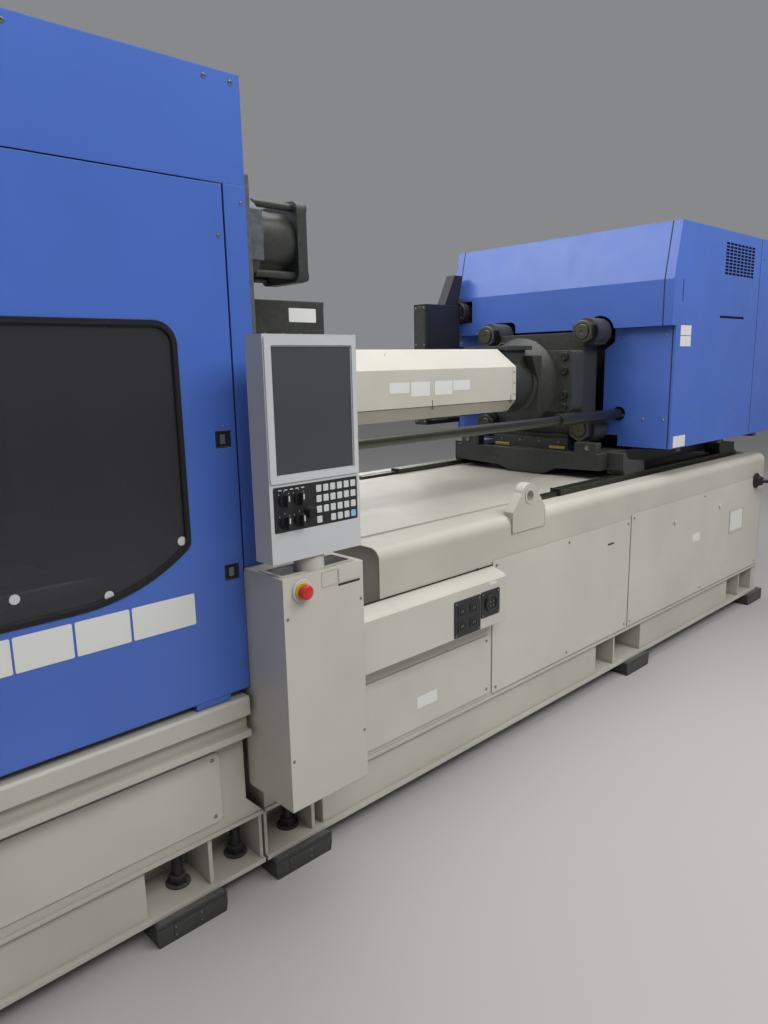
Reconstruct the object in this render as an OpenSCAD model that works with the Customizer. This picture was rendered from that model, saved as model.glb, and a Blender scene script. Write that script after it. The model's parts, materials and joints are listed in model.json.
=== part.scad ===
// Horizontal injection moulding machine with an electric toggle clamp.
// Lengths in millimetres, +X towards the injection unit, -Y is the operator side, +Z up.
// Machine coordinates have x = 0 on the injection side of the mould area; every module
// shifts its piece so that the origin is the centre of the footprint on the floor.

/* [Machine] */
// Height of the screw and clamp axis above the floor
axis_z = 1370; // [1330:5:1410]
// Half width of the base between its side walls
base_half = 664; // [650:2:690]
// Thickness of the bolted side panels
panel_t = 4; // [3:1:6]
// Height of the wedge mounts under the base
wedge_h = 66; // [55:1:80]
// Top of the base beam
beam_top = 233; // [210:1:250]
// Thickness of the welded plate
plate_t = 16; // [12:1:20]
// Right end of the injection base
base_right = 3680; // [3600:10:3800]
// Joint between the clamp base and the injection base
base_split = 60; // [40:5:80]

/* [Clamp] */
// Half distance between the tie bar centres
tie_c = 450; // [440:5:460]
// Tie bar diameter
tie_d = 125; // [110:5:130]
// Width and height of the platens
platen_w = 1180; // [1160:10:1200]
// Mould face of the stationary platen
mould_face = -130; // [-150:5:-110]
// Thickness of the stationary platen plate
st_platen_t = 300; // [280:10:320]
// Length of the bosses that carry the tie bar nuts
boss_len = 55; // [45:5:75]
// Mould space between the platens with the clamp shut
mould_gap = 600; // [560:10:640]
// Thickness of the moving platen
mv_platen_t = 360; // [330:10:380]
// Thickness of the rear platen
rear_platen_t = 340; // [320:10:360]
// Centre distance of each toggle lever and each toggle link
lever_len = 400; // [390:5:410]
// Angle of the toggle at rest, from the straight line
lever_rest = 4; // [3:1:5]
// Height of the toggle pins above and below the axis
pin_rise = 462; // [455:1:475]
// Radius of the toggle pins
pin_r = 36; // [32:1:40]
// Reach of the toggle lugs from the moving platen to its pin
lug_reach = 110; // [105:1:115]
// Reach of the toggle lugs from the rear platen to its pin
rear_lug_reach = 135; // [130:1:145]
// Angle of the toggle with the clamp fully open
lever_open = 72; // [60:1:72]
// Radius of the ejector rods
eject_r = 18; // [14:1:22]

/* [Covers] */
// Outer plane of the safety gates, from the machine axis
gate_y = 698; // [694:1:702]
// Right edge of the operator gate
gate_right = 19; // [10:1:24]
// Clearance between a gate and the base
gate_clear = 1; // [0.5:0.5:3]
// Left edge of the operator gate
gate_left = -1560; // [-1600:10:-1540]
// Lower edge of the gates
gate_low = 631; // [625:1:640]
// Upper edge of the gates, where the top cover starts
gate_high = 1897; // [1880:1:1910]
// Height of the top cover
cover_top = 2146; // [2120:2:2170]
// Sheet thickness of the covers
sheet_t = 3; // [2:0.5:4]
// Right edge of the window in the gate
window_right = -130; // [-150:5:-110]
// Left edge of the window in the gate
window_left = -1400; // [-1420:10:-1380]
// Upper edge of the window
window_high = 1577; // [1560:1:1590]
// Lower edge of the window
window_low = 947; // [940:1:960]
// How far the long sweep at the window's foot reaches in from each side
window_sweep = 291; // [270:1:300]
// Left end of the clamp hood
clamp_end = -3200; // [-3260:10:-3180]

/* [Bed] */
// Top edge of the bed
bed_top = 907; // [895:1:915]
// Left end of the raised bed
bed_left = 533; // [510:1:550]
// Radius along the upper edges of the bed
bed_r = 40; // [30:1:50]
// Distance of the carriage rails from the axis
rail_y = 500; // [485:5:515]
// Width of a carriage rail
rail_w = 50; // [40:2:60]
// Height of a carriage rail
rail_h = 30; // [24:1:36]

/* [Injection unit] */
// Radius of the barrel
barrel_r = 85; // [75:1:95]
// Bore of the barrel
bore_r = 35; // [30:1:40]
// Left end of the barrel
barrel_left = 560; // [540:5:580]
// Radius of the feed housing
feed_r = 140; // [130:1:150]
// Front face of the barrel flange
flange_x = 2150; // [2140:1:2160]
// Thickness of the flange plate
flange_t = 90; // [80:1:100]
// Neck between the flange plate and the front plate that holds the tie rods
neck_len = 43; // [35:1:50]
// Thickness of the front plate
front_t = 117; // [105:1:125]
// Distance of the tie rods from the axis to each side
rod_y = 295; // [285:1:300]
// Distance of the tie rods above and below the axis
rod_z = 236; // [230:1:242]
// Radius of the tie rods
rod_r = 36; // [32:1:40]
// Setback of the lower covers from the hood's front face
cover_setback = 52; // [44:1:60]
// Setback of the hood's roof from its front face
roof_setback = 57; // [45:1:70]
// Height of the leaning face under the roof
lean_h = 261; // [240:1:280]
// Height of the apron under the leaning face
apron_h = 208; // [195:1:220]
// Right end of the injection hood
hood_right = 4000; // [3960:10:4040]
// Top of the injection hood
hood_top = 2090; // [2070:1:2110]
// Lower edge of the hood's sides
hood_low = 1043; // [1035:1:1055]
// Height and offset of the rods that pull the nozzle to the mould
touch_z = 1205; // [1195:1:1215]
touch_y = 395; // [385:1:405]
// Radius of the nozzle touch rods
touch_r = 20; // [18:1:24]

/* [Operator panel] */
// Left and right faces of the control pedestal
pedestal_x0 = 20; // [15:1:25]
pedestal_w = 263; // [250:1:275]
// Reach of the pedestal and the panel from the axis
front_reach = 868; // [860:1:880]
// Lower and upper end of the pedestal
pedestal_low = 330; // [320:1:340]
pedestal_top = 960; // [948:1:966]
// Width, height and depth of the operator panel
hmi_w = 284; // [270:1:290]
hmi_h = 545; // [530:1:560]
hmi_t = 70; // [60:1:80]
// Lower edge of the operator panel
hmi_low = 1002; // [995:1:1010]
// Radius of the emergency stop button
stop_r = 19.5; // [17:0.5:21]

/* [Hidden] */
$fn = 64;

blue = [0.16, 0.27, 0.62];
warm_grey = [0.72, 0.71, 0.67];
pale_grey = [0.82, 0.82, 0.79];
dark_grey = [0.21, 0.23, 0.24];
steel = [0.66, 0.67, 0.68];
black = [0.06, 0.06, 0.07];

// Footprint centre, so that the model stands round its origin
rear_reach = 712;
stop_proud = 30;
centre_x = (clamp_end + hood_right) / 2;
centre_y = (rear_reach - front_reach - stop_proud) / 2;
side_y = base_half + panel_t;
gate_t = gate_y - base_half - gate_clear;
fit = 0.05;
seat = 0.3;

// Injection stations along the axis
front_x = flange_x + flange_t + neck_len;
hood_left = front_x + front_t;
cover_x = hood_left + cover_setback;
crease_z = hood_top - lean_h;
apron_z = crease_z - apron_h;
hood_half = side_y;
feed_left = flange_x - 300;
barrel_end = flange_x - 90;
drive_plate_x = hood_left + 160;
bear_x = hood_right - 500;
bear_t = 80;
post_left = gate_right + 5;
post_right = post_left + 61;

// Clamp stations along the axis
st_back = mould_face + st_platen_t;
boss_end = st_back + boss_len;
nut_end = boss_end + 132;
nut_r = 84;
mv_face = mould_face - mould_gap;
mv_back = mv_face - mv_platen_t;
mv_pin = mv_back - lug_reach;
rear_pin = mv_pin - 2 * lever_len * cos(lever_rest);
rear_front = rear_pin - rear_lug_reach;
rear_back = rear_front - rear_platen_t;
elbow_x = rear_pin + lever_len * cos(lever_rest);
elbow_rise = pin_rise - lever_len * sin(lever_rest);
platen_low = axis_z - platen_w / 2;
clamp_top = platen_low - 10;
stroke = 2 * lever_len * (cos(lever_rest) - cos(lever_open));
slim_half = 560;
screw_end = mv_back - stroke - 15;

// Lanes of the toggle, from the middle plane outwards
lane_in = 140;
lane_a = 178;
lane_b = 240;
lane_out = 278;
lane_gap = 2;
lever_r = 66;
drive_r = 150;
drive_angle = 52;
drive_x = rear_pin + drive_r * cos(lever_rest + drive_angle);
drive_rise = pin_rise - drive_r * sin(lever_rest + drive_angle);
cross_link_len = 160;
cross_pin_r = 22;
cross_eye_r = 54;
cross_clear = 15;
cross_x = drive_x + cross_link_len;
cross_rise = 325;
guide_r = 30;
guide_rise = 190;
screw_r = 32;

// Box between two corners, given as ranges
module blk(x, y, z)
  translate([x[0], y[0], z[0]]) cube([x[1] - x[0], y[1] - y[0], z[1] - z[0]]);
// Cylinders along each axis, from a to b
module rod_along_x(r, x, y, z, n = 64)
  translate([x[0], y, z]) rotate([0, 90, 0]) cylinder(r = r, h = x[1] - x[0], $fn = n);
module rod_along_y(r, x, y, z, n = 64)
  translate([x, y[0], z]) rotate([-90, 0, 0]) cylinder(r = r, h = y[1] - y[0], $fn = n);
module rod_along_z(r, x, y, z, n = 64)
  translate([x, y, z[0]]) cylinder(r = r, h = z[1] - z[0], $fn = n);
// The same piece on the operator side and on the rear side
module both_sides() { children(); mirror([0, 1, 0]) children(); }
// The same piece above and below the machine axis
module above_and_below()
{
  children();
  translate([0, 0, 2 * axis_z]) mirror([0, 0, 1]) children();
}
// Four places round the axis
module four_round(y, z)
  for (sy = [-1, 1], sz = [-1, 1]) translate([0, sy * y, axis_z + sz * z]) children();
// Puts machine coordinates on the footprint centre
module on_floor() translate([-centre_x, -centre_y, 0]) children();
// Outline extruded along X; its own x and y become y and z
module along_x(x)
  translate([x[0], 0, 0]) rotate([90, 0, 90]) linear_extrude(x[1] - x[0]) children();
// Outline extruded along Y; its own x and y become x and z
module along_y(y)
  translate([0, y[1], 0]) rotate([90, 0, 0]) linear_extrude(y[1] - y[0]) children();
// Rectangle with its own radius at the lower and at the upper corners
module rounded(x, y, r_low, r_high)
{
  for (sx = [0, 1])
  {
    translate([sx ? x[1] - r_low : x[0] + r_low, y[0] + r_low]) circle(r_low);
    translate([sx ? x[1] - r_high : x[0] + r_high, y[1] - r_high]) circle(r_high);
  }
  translate([x[0] + r_low, y[0]]) square([x[1] - x[0] - 2 * r_low, r_low]);
  translate([x[0] + r_high, y[1] - r_high]) square([x[1] - x[0] - 2 * r_high, r_high]);
  translate([x[0], y[0] + r_low]) square([x[1] - x[0], y[1] - y[0] - r_low - r_high]);
}
// Straight bar between two points of the toggle, drawn in the XZ plane
module bar(a, b, w)
  translate(a) rotate(atan2(b[1] - a[1], b[0] - a[0])) translate([0, -w / 2])
    square([norm(b - a), w]);
// The same piece on the lower side of the machine axis
module below() translate([0, 0, 2 * axis_z]) mirror([0, 0, 1]) children();
// Wedge positions along the base
base_left = clamp_end + 40;
wedge_x = [-3020, -1525, -190, 183, 2198, 3634];
// Open pockets of the base beam, left end and right end of each
clamp_pockets = [[base_left + 80, base_left + 310], [-1640, -1410], [-301, base_split - 14]];
bed_pockets = [[base_split + 14, 279], [1856, 2260], [3269, 3623]];
jack_x = [-3020, -1580, -176, 8, 197, 1905, 2045, 3300, 3500];
jack_y = 583;
jack_r = 14;
beam_y = base_half - 8;
beam_in = beam_y - 148;

// Base beam with open pockets outside and a hollow inside
module base_beam(x, pockets, hollows, ribs)
  both_sides() difference()
  {
    union()
    {
      blk(x, [-beam_y, -beam_in], [wedge_h, beam_top]);
      blk(x, [-side_y, -beam_in], [wedge_h, wedge_h + 14]);
      blk(x, [-side_y, -beam_in], [beam_top - 12, beam_top]);
    }
    for (p = pockets) difference()
    {
      blk(p, [-beam_y - 1, -beam_in - 8], [wedge_h + 14, beam_top - 12]);
      for (r = ribs) blk([r - 6, r + 6], [-side_y, -beam_in], [wedge_h, beam_top]);
    }
    for (h = hollows) blk(h, [-beam_y + 16, -beam_in + 1], [wedge_h + 14, beam_top - 12]);
    for (j = jack_x) rod_along_z(jack_r + 0.2, j, -jack_y, [wedge_h - 1, wedge_h + 15]);
  }

// Top plate of the clamp base
deck_z = 740;

// Welded base under the clamp, with the platen rails and the part chute
module clamp_base()
  color(warm_grey) on_floor()
  {
    base_beam([base_left, base_split - 4], clamp_pockets,
      [[base_left + 326, -1656], [-1394, -317]], [base_left + 195, -1525, base_split - 172]);
    for (x = [base_left, base_split - 4 - plate_t])
      blk([x, x + plate_t], [-beam_in, beam_in], [wedge_h + 14, beam_top]);
    difference()
    {
      along_y([-base_half, base_half]) polygon([[base_left, beam_top],
        [base_split - 4, beam_top], [base_split - 55, 290], [base_split - 55, deck_z],
        [base_left, deck_z]]);
      difference()
      {
        along_y([-base_half + plate_t, base_half - plate_t]) polygon([
          [base_left + plate_t, beam_top - 1], [base_split - 24, beam_top - 1],
          [base_split - 71, 284], [base_split - 71, deck_z - plate_t],
          [base_left + plate_t, deck_z - plate_t]]);
        for (x = [-2308, -1568]) blk([x, x + plate_t], [-base_half, base_half], [232, deck_z]);
      }
      blk([-1500, -150], [-320, 320], [deck_z - 40, deck_z + 1]);
      for (x = [-2100, -1900]) blk([x - 60, x + 60], [-200, 200],
        [deck_z - 40, deck_z + 1]);
      for (x = [-2700, -2000])
        blk([x - 200, x + 200], [-250, 250], [deck_z - plate_t - 1, deck_z + 1]);
    }
    // Platen rails
    both_sides() blk([base_left + 120, -20], [330, 450], [deck_z, clamp_top]);
    // Sloped sheets that lead the parts down
    both_sides() along_x([-1500, -150]) polygon([[320, deck_z], [320, deck_z - plate_t],
      [64, beam_top + 20], [60, beam_top + 20], [316, deck_z]]);
  }

// Depth of the recess at the bed's left end
bed_end = 10;

// Welded base under the injection unit, with the raised bed
module injection_base()
  color(warm_grey) on_floor()
  {
    base_beam([base_split + 4, base_right], bed_pockets, [[295, 1840], [2276, 3253]],
      [241, 2014, 3441]);
    for (x = [base_split + 4, base_right - plate_t])
      blk([x, x + plate_t], [-beam_in, beam_in], [wedge_h + 14, beam_top]);
    difference()
    {
      union()
      {
        blk([base_split + 4, bed_left + 1], [-base_half, base_half], [beam_top, 700]);
        along_x([bed_left, base_right])
        {
          translate([-base_half, beam_top])
            square([2 * base_half, bed_top - bed_r - beam_top]);
          translate([-base_half + bed_r, beam_top])
            square([2 * (base_half - bed_r), bed_top - beam_top]);
          for (s = [-1, 1]) translate([s * (base_half - bed_r), bed_top - bed_r])
            circle(bed_r);
        }
      }
      difference()
      {
        union()
        {
          blk([base_split + 4 + plate_t, base_right - plate_t],
            [-base_half + plate_t, base_half - plate_t], [beam_top - 1, 700 - plate_t]);
          blk([bed_left + bed_end + plate_t, base_right - plate_t],
            [-base_half + plate_t, base_half - plate_t], [beam_top - 1, bed_top - 28]);
        }
        for (x = [1082, 2095]) blk([x, x + plate_t], [-base_half, base_half], [232, 900]);
      }
      // Recess under the turned edge at the bed's left end
      along_x([bed_left - 1, bed_left + bed_end]) rounded([-base_half + 4, base_half - 4],
        [704, bed_top - 4], 2, bed_r - 4);
      blk([bed_left + 30, base_right - 40], [-560, 560], [bed_top - 12, bed_top + 1]);
      both_sides() blk([1212, 1417], [-base_half - 1, -628], [840, bed_top + 1]);
    }
  }

// Wedge mounts on the floor
module leveling_wedges()
  color(dark_grey) on_floor() both_sides() for (x = wedge_x) translate([x, 0, 0])
    along_y([-686, -518]) polygon([[-100, 0], [100, 0], [104, 26], [104, wedge_h - 6],
      [96, wedge_h], [-96, wedge_h], [-104, wedge_h - 6], [-104, 26]]);

// Jack bolts with their nuts in the pockets of the beam
module leveling_bolts()
  color(steel) on_floor() both_sides() for (x = jack_x)
  {
    rod_along_z(jack_r, x, -jack_y, [wedge_h, 200]);
    rod_along_z(25, x, -jack_y, [wedge_h + 14, wedge_h + 36], 6);
    rod_along_z(23, x, -jack_y, [182, 200], 6);
  }

// Thin access panels on both long sides
module side_panels()
  color(pale_grey) on_floor() both_sides() along_y([-side_y, -base_half])
  {
    rounded([base_left + 100, base_left + 1520], [262, 466], 20, 20);
    rounded([base_left + 1560, base_split - 132], [262, 466], 20, 20);
    rounded([base_split + 240, base_split + 1024], [250, 480], 20, 20);
    rounded([base_split + 1036, 2098], [240, 758], 6, 6);
    rounded([2108, base_right - 40], [240, 775], 6, 6);
  }

// Sloped box with the outlets on the operator side
module service_box()
  color(pale_grey) on_floor() difference()
  {
    along_x([300, 1096]) polygon([[-base_half, 741], [-716, 726], [-728, 715],
      [-728, 549], [-base_half, 549]]);
    blk([304, 1092], [-724, -base_half + 1], [553, 696]);
  }

// Pedestal that carries the operator panel
module control_pedestal()
  color(pale_grey) on_floor()
  {
    difference()
    {
      blk([pedestal_x0, pedestal_x0 + pedestal_w], [-front_reach, -base_half],
        [pedestal_low, pedestal_top]);
      blk([pedestal_x0 + 3, pedestal_x0 + pedestal_w - 3], [-front_reach + 3, -base_half + 1],
        [pedestal_low + 3, pedestal_top - 3]);
      blk([pedestal_x0 - 1, post_right + 2], [-gate_y - 2, -base_half + 1],
        [pedestal_top - 10, pedestal_top + 1]);
      rod_along_y(stop_stem_r + 0.06, stop_x, [-front_reach - 1, -front_reach + 4], stop_z);
    }
    rod_along_z(40, pivot_x, pivot_y, [pedestal_top, hmi_low - seat]);
    rod_along_z(25, pivot_x, pivot_y, [pedestal_top, hmi_low + 20]);
  }
pivot_x = pedestal_x0 + pedestal_w / 2 - 14;
pivot_y = -front_reach + 45;
stop_x = pedestal_x0 + 57;
stop_z = pedestal_top - 39;
stop_stem_r = 8;

// Lifting lugs let into the edges of the bed
module lifting_lugs()
  color(warm_grey) on_floor() both_sides() difference()
  {
    along_y([-side_y, -628])
    {
      polygon([[1212, 840], [1417, 840], [1417, 920], [1366, 985], [1268, 985], [1212, 920]]);
      translate([1317, 971]) circle(49);
    }
    rod_along_y(21, 1317, [-side_y - 1, -627], 970);
  }

// Rails under the safety gates
module gate_rails()
  color(warm_grey) on_floor() both_sides() along_x([base_left + 150, pedestal_x0 - 14])
    polygon([[-base_half, 498], [-rear_reach, 498], [-rear_reach, 516], [-690, 516],
      [-690, 560], [-rear_reach, 560], [-rear_reach, rail_top - 6],
      [-rear_reach + 6, rail_top], [-base_half, rail_top]]);
rail_top = 612;

// Threaded holes of the mould bolt patterns, along X
module mould_holes(x)
  for (p = [[350, 210], [210, 350]]) four_round(p[0], p[1]) rod_along_x(12, x, 0, 0, 32);

// Hinge of the nozzle guard
guard_x = 302;
guard_z = 1670;

// Stationary platen with the bosses for the tie bar nuts and the ears of the nozzle guard
module stationary_platen()
  color(blue_steel) on_floor() difference()
  {
    union()
    {
      blk([mould_face, st_back], [-platen_w / 2, platen_w / 2],
        [platen_low, platen_low + platen_w]);
      four_round(tie_c, tie_c)
      {
        rod_along_x(nut_r + 34, [st_back - 1, boss_end], 0, 0);
        blk([st_back - 1, boss_end], [-nut_r - 31, nut_r + 31], [-65, 65]);
      }
      both_sides() blk([mould_face + 20, st_back - 20], [330, 450], [clamp_top, platen_low]);
      both_sides() blk([st_back - 1, guard_x + 12], [-316, -301], [guard_z - 20, guard_z + 16]);
    }
    rod_along_y(6 + fit, guard_x, [-317, 317], guard_z, 32);
    four_round(tie_c, tie_c)
      rod_along_x(tie_d / 2 + fit, [mould_face - 1, boss_end + 1], 0, 0);
    translate([st_back - 200, 0, axis_z]) rotate([0, 90, 0])
      cylinder(r1 = 110, r2 = 230, h = 200);
    translate([st_back, 0, axis_z]) rotate([0, 90, 0]) cylinder(r = 230, h = 1);
    rod_along_x(40, [mould_face - 1, st_back], 0, axis_z);
    rod_along_x(80, [mould_face - 1, mould_face + 30], 0, axis_z);
    mould_holes([mould_face - 1, mould_face + 45]);
  }
blue_steel = [0.30, 0.33, 0.36];
oiled = [0.38, 0.39, 0.36];

// Tie bars
module tie_bars()
  color(steel) on_floor() four_round(tie_c, tie_c)
    rod_along_x(tie_d / 2, [rear_back - 330, nut_end], 0, 0);

// Round nuts on the tie bars
module tie_bar_nuts()
  color(steel) on_floor() four_round(tie_c, tie_c) difference()
  {
    rod_along_x(nut_r, [boss_end, nut_end], 0, 0);
    rod_along_x(tie_d / 2 + fit, [boss_end - 1, nut_end + 1], 0, 0);
  }

// Plates with long bolts that lock the tie bar nuts
module nut_retainers()
  color(dark_grey) on_floor() four_round(tie_c, tie_c)
  {
    along_x([nut_end, nut_end + 33])
      rounded([-nut_r - 11, nut_r + 11], [-nut_r - 27, nut_r + 27], 28, 28);
    for (y = [-66, 66], z = [-nut_r - 8, nut_r + 8])
    {
      rod_along_x(10, [boss_end, nut_end + 1], y, z, 32);
      rod_along_x(15, [nut_end + 32, nut_end + 45], y, z, 32);
    }
  }

// Sheet cover over the mould area
module top_cover()
  color(blue) on_floor() difference()
  {
    blk([gate_left, post_right], [-gate_y, gate_y], [gate_high + 3, cover_top]);
    blk([gate_left + sheet_t, post_right - sheet_t], [-gate_y + sheet_t, gate_y - sheet_t],
      [gate_high + 2, cover_top - sheet_t]);
    blk([gate_left - 1, post_right + 1], [-gate_y + sheet_t, gate_y - sheet_t],
      [gate_high + 2, cover_top - side_drop]);
  }
side_drop = 178;

// Fixed posts at the right edge of the gates
module gate_posts()
  color(blue) on_floor() both_sides()
  {
    blk([post_left, post_right], [-gate_y, -gate_y + sheet_t], [gate_low - 3, gate_high + 3]);
    blk([post_left, post_left + sheet_t], [-gate_y, -640], [gate_low - 3, gate_high + 3]);
    blk([post_right - sheet_t, post_right], [-gate_y, -base_half],
      [gate_low - 3, gate_high + 3]);
    blk([post_right - sheet_t, post_right], [-gate_y, -platen_w / 2], [700, gate_high + 3]);
  }

// Sheet hood over the toggle, with the vented end plate
module clamp_hood()
  color(blue) on_floor() difference()
  {
    blk([clamp_end, gate_left - 3], [-clamp_hood_half, clamp_hood_half],
      [deck_z, clamp_hood_top]);
    blk([clamp_end + sheet_t, gate_left],
      [-clamp_hood_half + sheet_t, clamp_hood_half - sheet_t],
      [deck_z - 1, clamp_hood_top - sheet_t]);
    for (y = [-420:70:420], z = [600:-50:200])
      blk([clamp_end - 1, clamp_end + 4], [y - 25, y + 25],
        [clamp_hood_top - z, clamp_hood_top - z + 14]);
  }
clamp_hood_half = 640;
clamp_hood_top = 2100;

// Cover plate on the bed between the rails
module bed_deck()
  color(warm_grey) on_floor()
    blk([bed_left + bed_end + 28, base_right - 80], [-470, 470], [bed_top - 12, bed_top - 6]);

// Rails of the injection carriage
module carriage_rails()
  color(oiled) on_floor() both_sides() blk([1740, base_right - 80],
    [rail_y - rail_w / 2, rail_y + rail_w / 2], [bed_top - 12, bed_top - 12 + rail_h]);

// Fixed rods that pull the nozzle against the mould
module nozzle_touch_rods()
  color(oiled) on_floor() both_sides()
  {
    rod_along_x(touch_r, [st_back, 1910], -touch_y, touch_z);
    rod_along_x(30, [1906, 2032], -touch_y, touch_z);
    rod_along_x(touch_r + 5, [2031, cover_x + 73], -touch_y, touch_z);
    rod_along_x(34, [st_back, st_back + 30], -touch_y, touch_z);
  }

// Outline of the gate's window: square shoulders above, a long sweep and a tight corner below
sweep_r = 1.6 * window_sweep;
corner_r = 28;
shoulder_r = 50;
corner_up = sqrt(pow(sweep_r - corner_r, 2) - pow(window_sweep - corner_r, 2));
sweep_end = asin((window_sweep - corner_r) / (sweep_r - corner_r));
window_half = concat(
  [for (k = [0:8]) [window_right - window_sweep + sweep_r * sin(k * sweep_end / 8),
    window_low + sweep_r - sweep_r * cos(k * sweep_end / 8)]],
  [for (k = [1:4]) let (a = sweep_end - 90 + k * (90 - sweep_end) / 4)
    [window_right - corner_r + corner_r * cos(a),
     window_low + sweep_r - corner_up + corner_r * sin(a)]],
  [for (k = [0:6]) [window_right - shoulder_r + shoulder_r * cos(15 * k),
    window_high - shoulder_r + shoulder_r * sin(15 * k)]]);
module window_outline()
  polygon(concat(window_half, [for (k = [len(window_half) - 1:-1:0])
    [window_left + window_right - window_half[k][0], window_half[k][1]]]));

// Sliding gate: folded sheet with a window opening and shoes on the rail
module gate_sheet(cutouts)
{
  difference()
  {
    blk([gate_left, gate_right], [-gate_y, -gate_y + gate_t], [gate_low, gate_high]);
    blk([gate_left + sheet_t, gate_right - sheet_t], [-gate_y + sheet_t, -gate_y + gate_t + 1],
      [gate_low + sheet_t, gate_high - sheet_t]);
    along_y([-gate_y - 1, -gate_y + sheet_t + 1]) window_outline();
    if (cutouts)
    {
      blk([gate_right - 58, gate_right - 14], [-gate_y - 1, -gate_y + 4], [1277, 1319]);
      blk([gate_right - 55, gate_right - 13], [-gate_y - 1, -gate_y + 4], [937, 978]);
    }
  }
  for (z = [900, 1630])
    blk([gate_left + 1, gate_right - 1], [-gate_y + sheet_t - 1, -gate_y + gate_t], [z, z + 3]);
  for (x = [gate_left + 60, gate_right - 160])
    blk([x, x + 100], [-gate_y + 2, -base_half - 4], [rail_top + seat, gate_low + 1]);
}

// Window pane behind the opening of a gate
module gate_pane()
  blk([window_left - 18, window_right + 18], [-gate_y + sheet_t, -gate_y + sheet_t + 6],
    [window_low - 18, window_high + 18]);

// Operator side gate and its window
module operator_gate() color(blue) on_floor() gate_sheet(true);
module gate_window() color([0.75, 0.82, 0.85, 0.5]) on_floor() gate_pane();

// Rear gate and its window
module rear_gate() color(blue) on_floor() mirror([0, 1, 0]) gate_sheet(false);
module rear_gate_window()
  color([0.75, 0.82, 0.85, 0.5]) on_floor() mirror([0, 1, 0]) gate_pane();

// Rear platen with the clevis lugs and the guide rods of the crosshead
module rear_platen()
  color(blue_steel) on_floor()
  {
    difference()
    {
      union()
      {
        blk([rear_back, rear_front], [-slim_half, slim_half],
          [axis_z - slim_half, axis_z + slim_half]);
        both_sides() blk([rear_back + 20, rear_front - 20], [330, 450],
          [clamp_top + seat, axis_z - slim_half]);
        above_and_below() both_sides() for (y = [[lane_in, lane_a], [lane_b + 2, lane_out + 2]])
          along_y(y) translate([rear_pin, axis_z + pin_rise])
          {
            circle(lever_r);
            translate([-rear_lug_reach - 1, -lever_r])
              square([rear_lug_reach + 1, 2 * lever_r]);
          }
      }
      four_round(tie_c, tie_c)
        rod_along_x(tie_d / 2 + 0.08, [rear_back - 1, rear_front + 1], 0, 0);
      rod_along_x(45 + fit, [rear_back - 1, rear_front + 1], 0, axis_z);
      above_and_below()
        rod_along_y(pin_r + 0.06, rear_pin, [-lane_out - 3, lane_out + 3], axis_z + pin_rise);
    }
    above_and_below()
      rod_along_x(guide_r, [rear_front - 1, screw_end], 0, axis_z + guide_rise);
  }

// Nuts that set the mould height, on the tie bars behind the rear platen
module die_height_nuts()
  color(steel) on_floor() four_round(tie_c, tie_c) difference()
  {
    rod_along_x(100, [rear_back - 130, rear_back], 0, 0);
    rod_along_x(tie_d / 2 + 0.08, [rear_back - 131, rear_back + 1], 0, 0);
  }

// Motor that turns the clamp screw
module clamp_motor()
  color(dark_grey) on_floor() difference()
  {
    union()
    {
      rod_along_x(170, [rear_back - 400, rear_back - 30], 0, axis_z);
      rod_along_x(200, [rear_back - 30, rear_back], 0, axis_z);
      blk([rear_back - 300, rear_back - 180], [-80, 80], [axis_z + 150, axis_z + 230]);
    }
    rod_along_x(30 + fit, [rear_back - 80, rear_back + 1], 0, axis_z);
  }

// Toggle levers of the upper side, with their pins
module lever_pair()
{
  both_sides() along_y([lane_a + lane_gap, lane_b])
  {
    translate([rear_pin, axis_z + pin_rise]) circle(lever_r);
    translate([elbow_x, axis_z + elbow_rise]) circle(lever_r);
    translate([drive_x, axis_z + drive_rise]) circle(cross_pin_r + 22);
    bar([rear_pin, axis_z + pin_rise], [elbow_x, axis_z + elbow_rise], 96);
    bar([rear_pin, axis_z + pin_rise], [drive_x, axis_z + drive_rise], 80);
    polygon([[rear_pin + 10, axis_z + pin_rise - 10],
      [rear_pin + 200, axis_z + pin_rise - 40],
      [drive_x + 40, axis_z + drive_rise + 10], [drive_x - 20, axis_z + drive_rise]]);
  }
  rod_along_y(pin_r, rear_pin, [-lane_out - 8, lane_out + 8], axis_z + pin_rise);
  both_sides()
  {
    rod_along_y(pin_r, elbow_x, [lane_in + lane_gap, lane_out - 2], axis_z + elbow_rise);
    rod_along_y(cross_pin_r, drive_x, [lane_in + lane_gap, lane_b], axis_z + drive_rise);
  }
}
module upper_levers() color(steel) on_floor() lever_pair();
module lower_levers() color(steel) on_floor() below() lever_pair();

// Toggle links of the upper side; gap is the clearance of the eye at the moving platen
module link_pair(gap)
{
  both_sides()
  {
    for (y = [[lane_in + lane_gap, lane_a], [lane_b + lane_gap, lane_out - 2]])
      along_y(y) difference()
      {
        union()
        {
          translate([elbow_x, axis_z + elbow_rise]) circle(lever_r - 4);
          translate([mv_pin, axis_z + pin_rise]) circle(lever_r);
          bar([elbow_x, axis_z + elbow_rise], [mv_pin, axis_z + pin_rise], 96);
        }
        translate([elbow_x, axis_z + elbow_rise]) circle(pin_r + 0.06);
        translate([mv_pin, axis_z + pin_rise]) circle(pin_r + gap);
      }
    along_y([lane_a - 1, lane_b + lane_gap + 1])
      translate([mv_pin - 150 * cos(lever_rest), axis_z + pin_rise - 150 * sin(lever_rest)])
        circle(34);
  }
}
module upper_links() color(steel) on_floor() link_pair(0.06);
module lower_links() color(steel) on_floor() below() link_pair(0.5);

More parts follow.
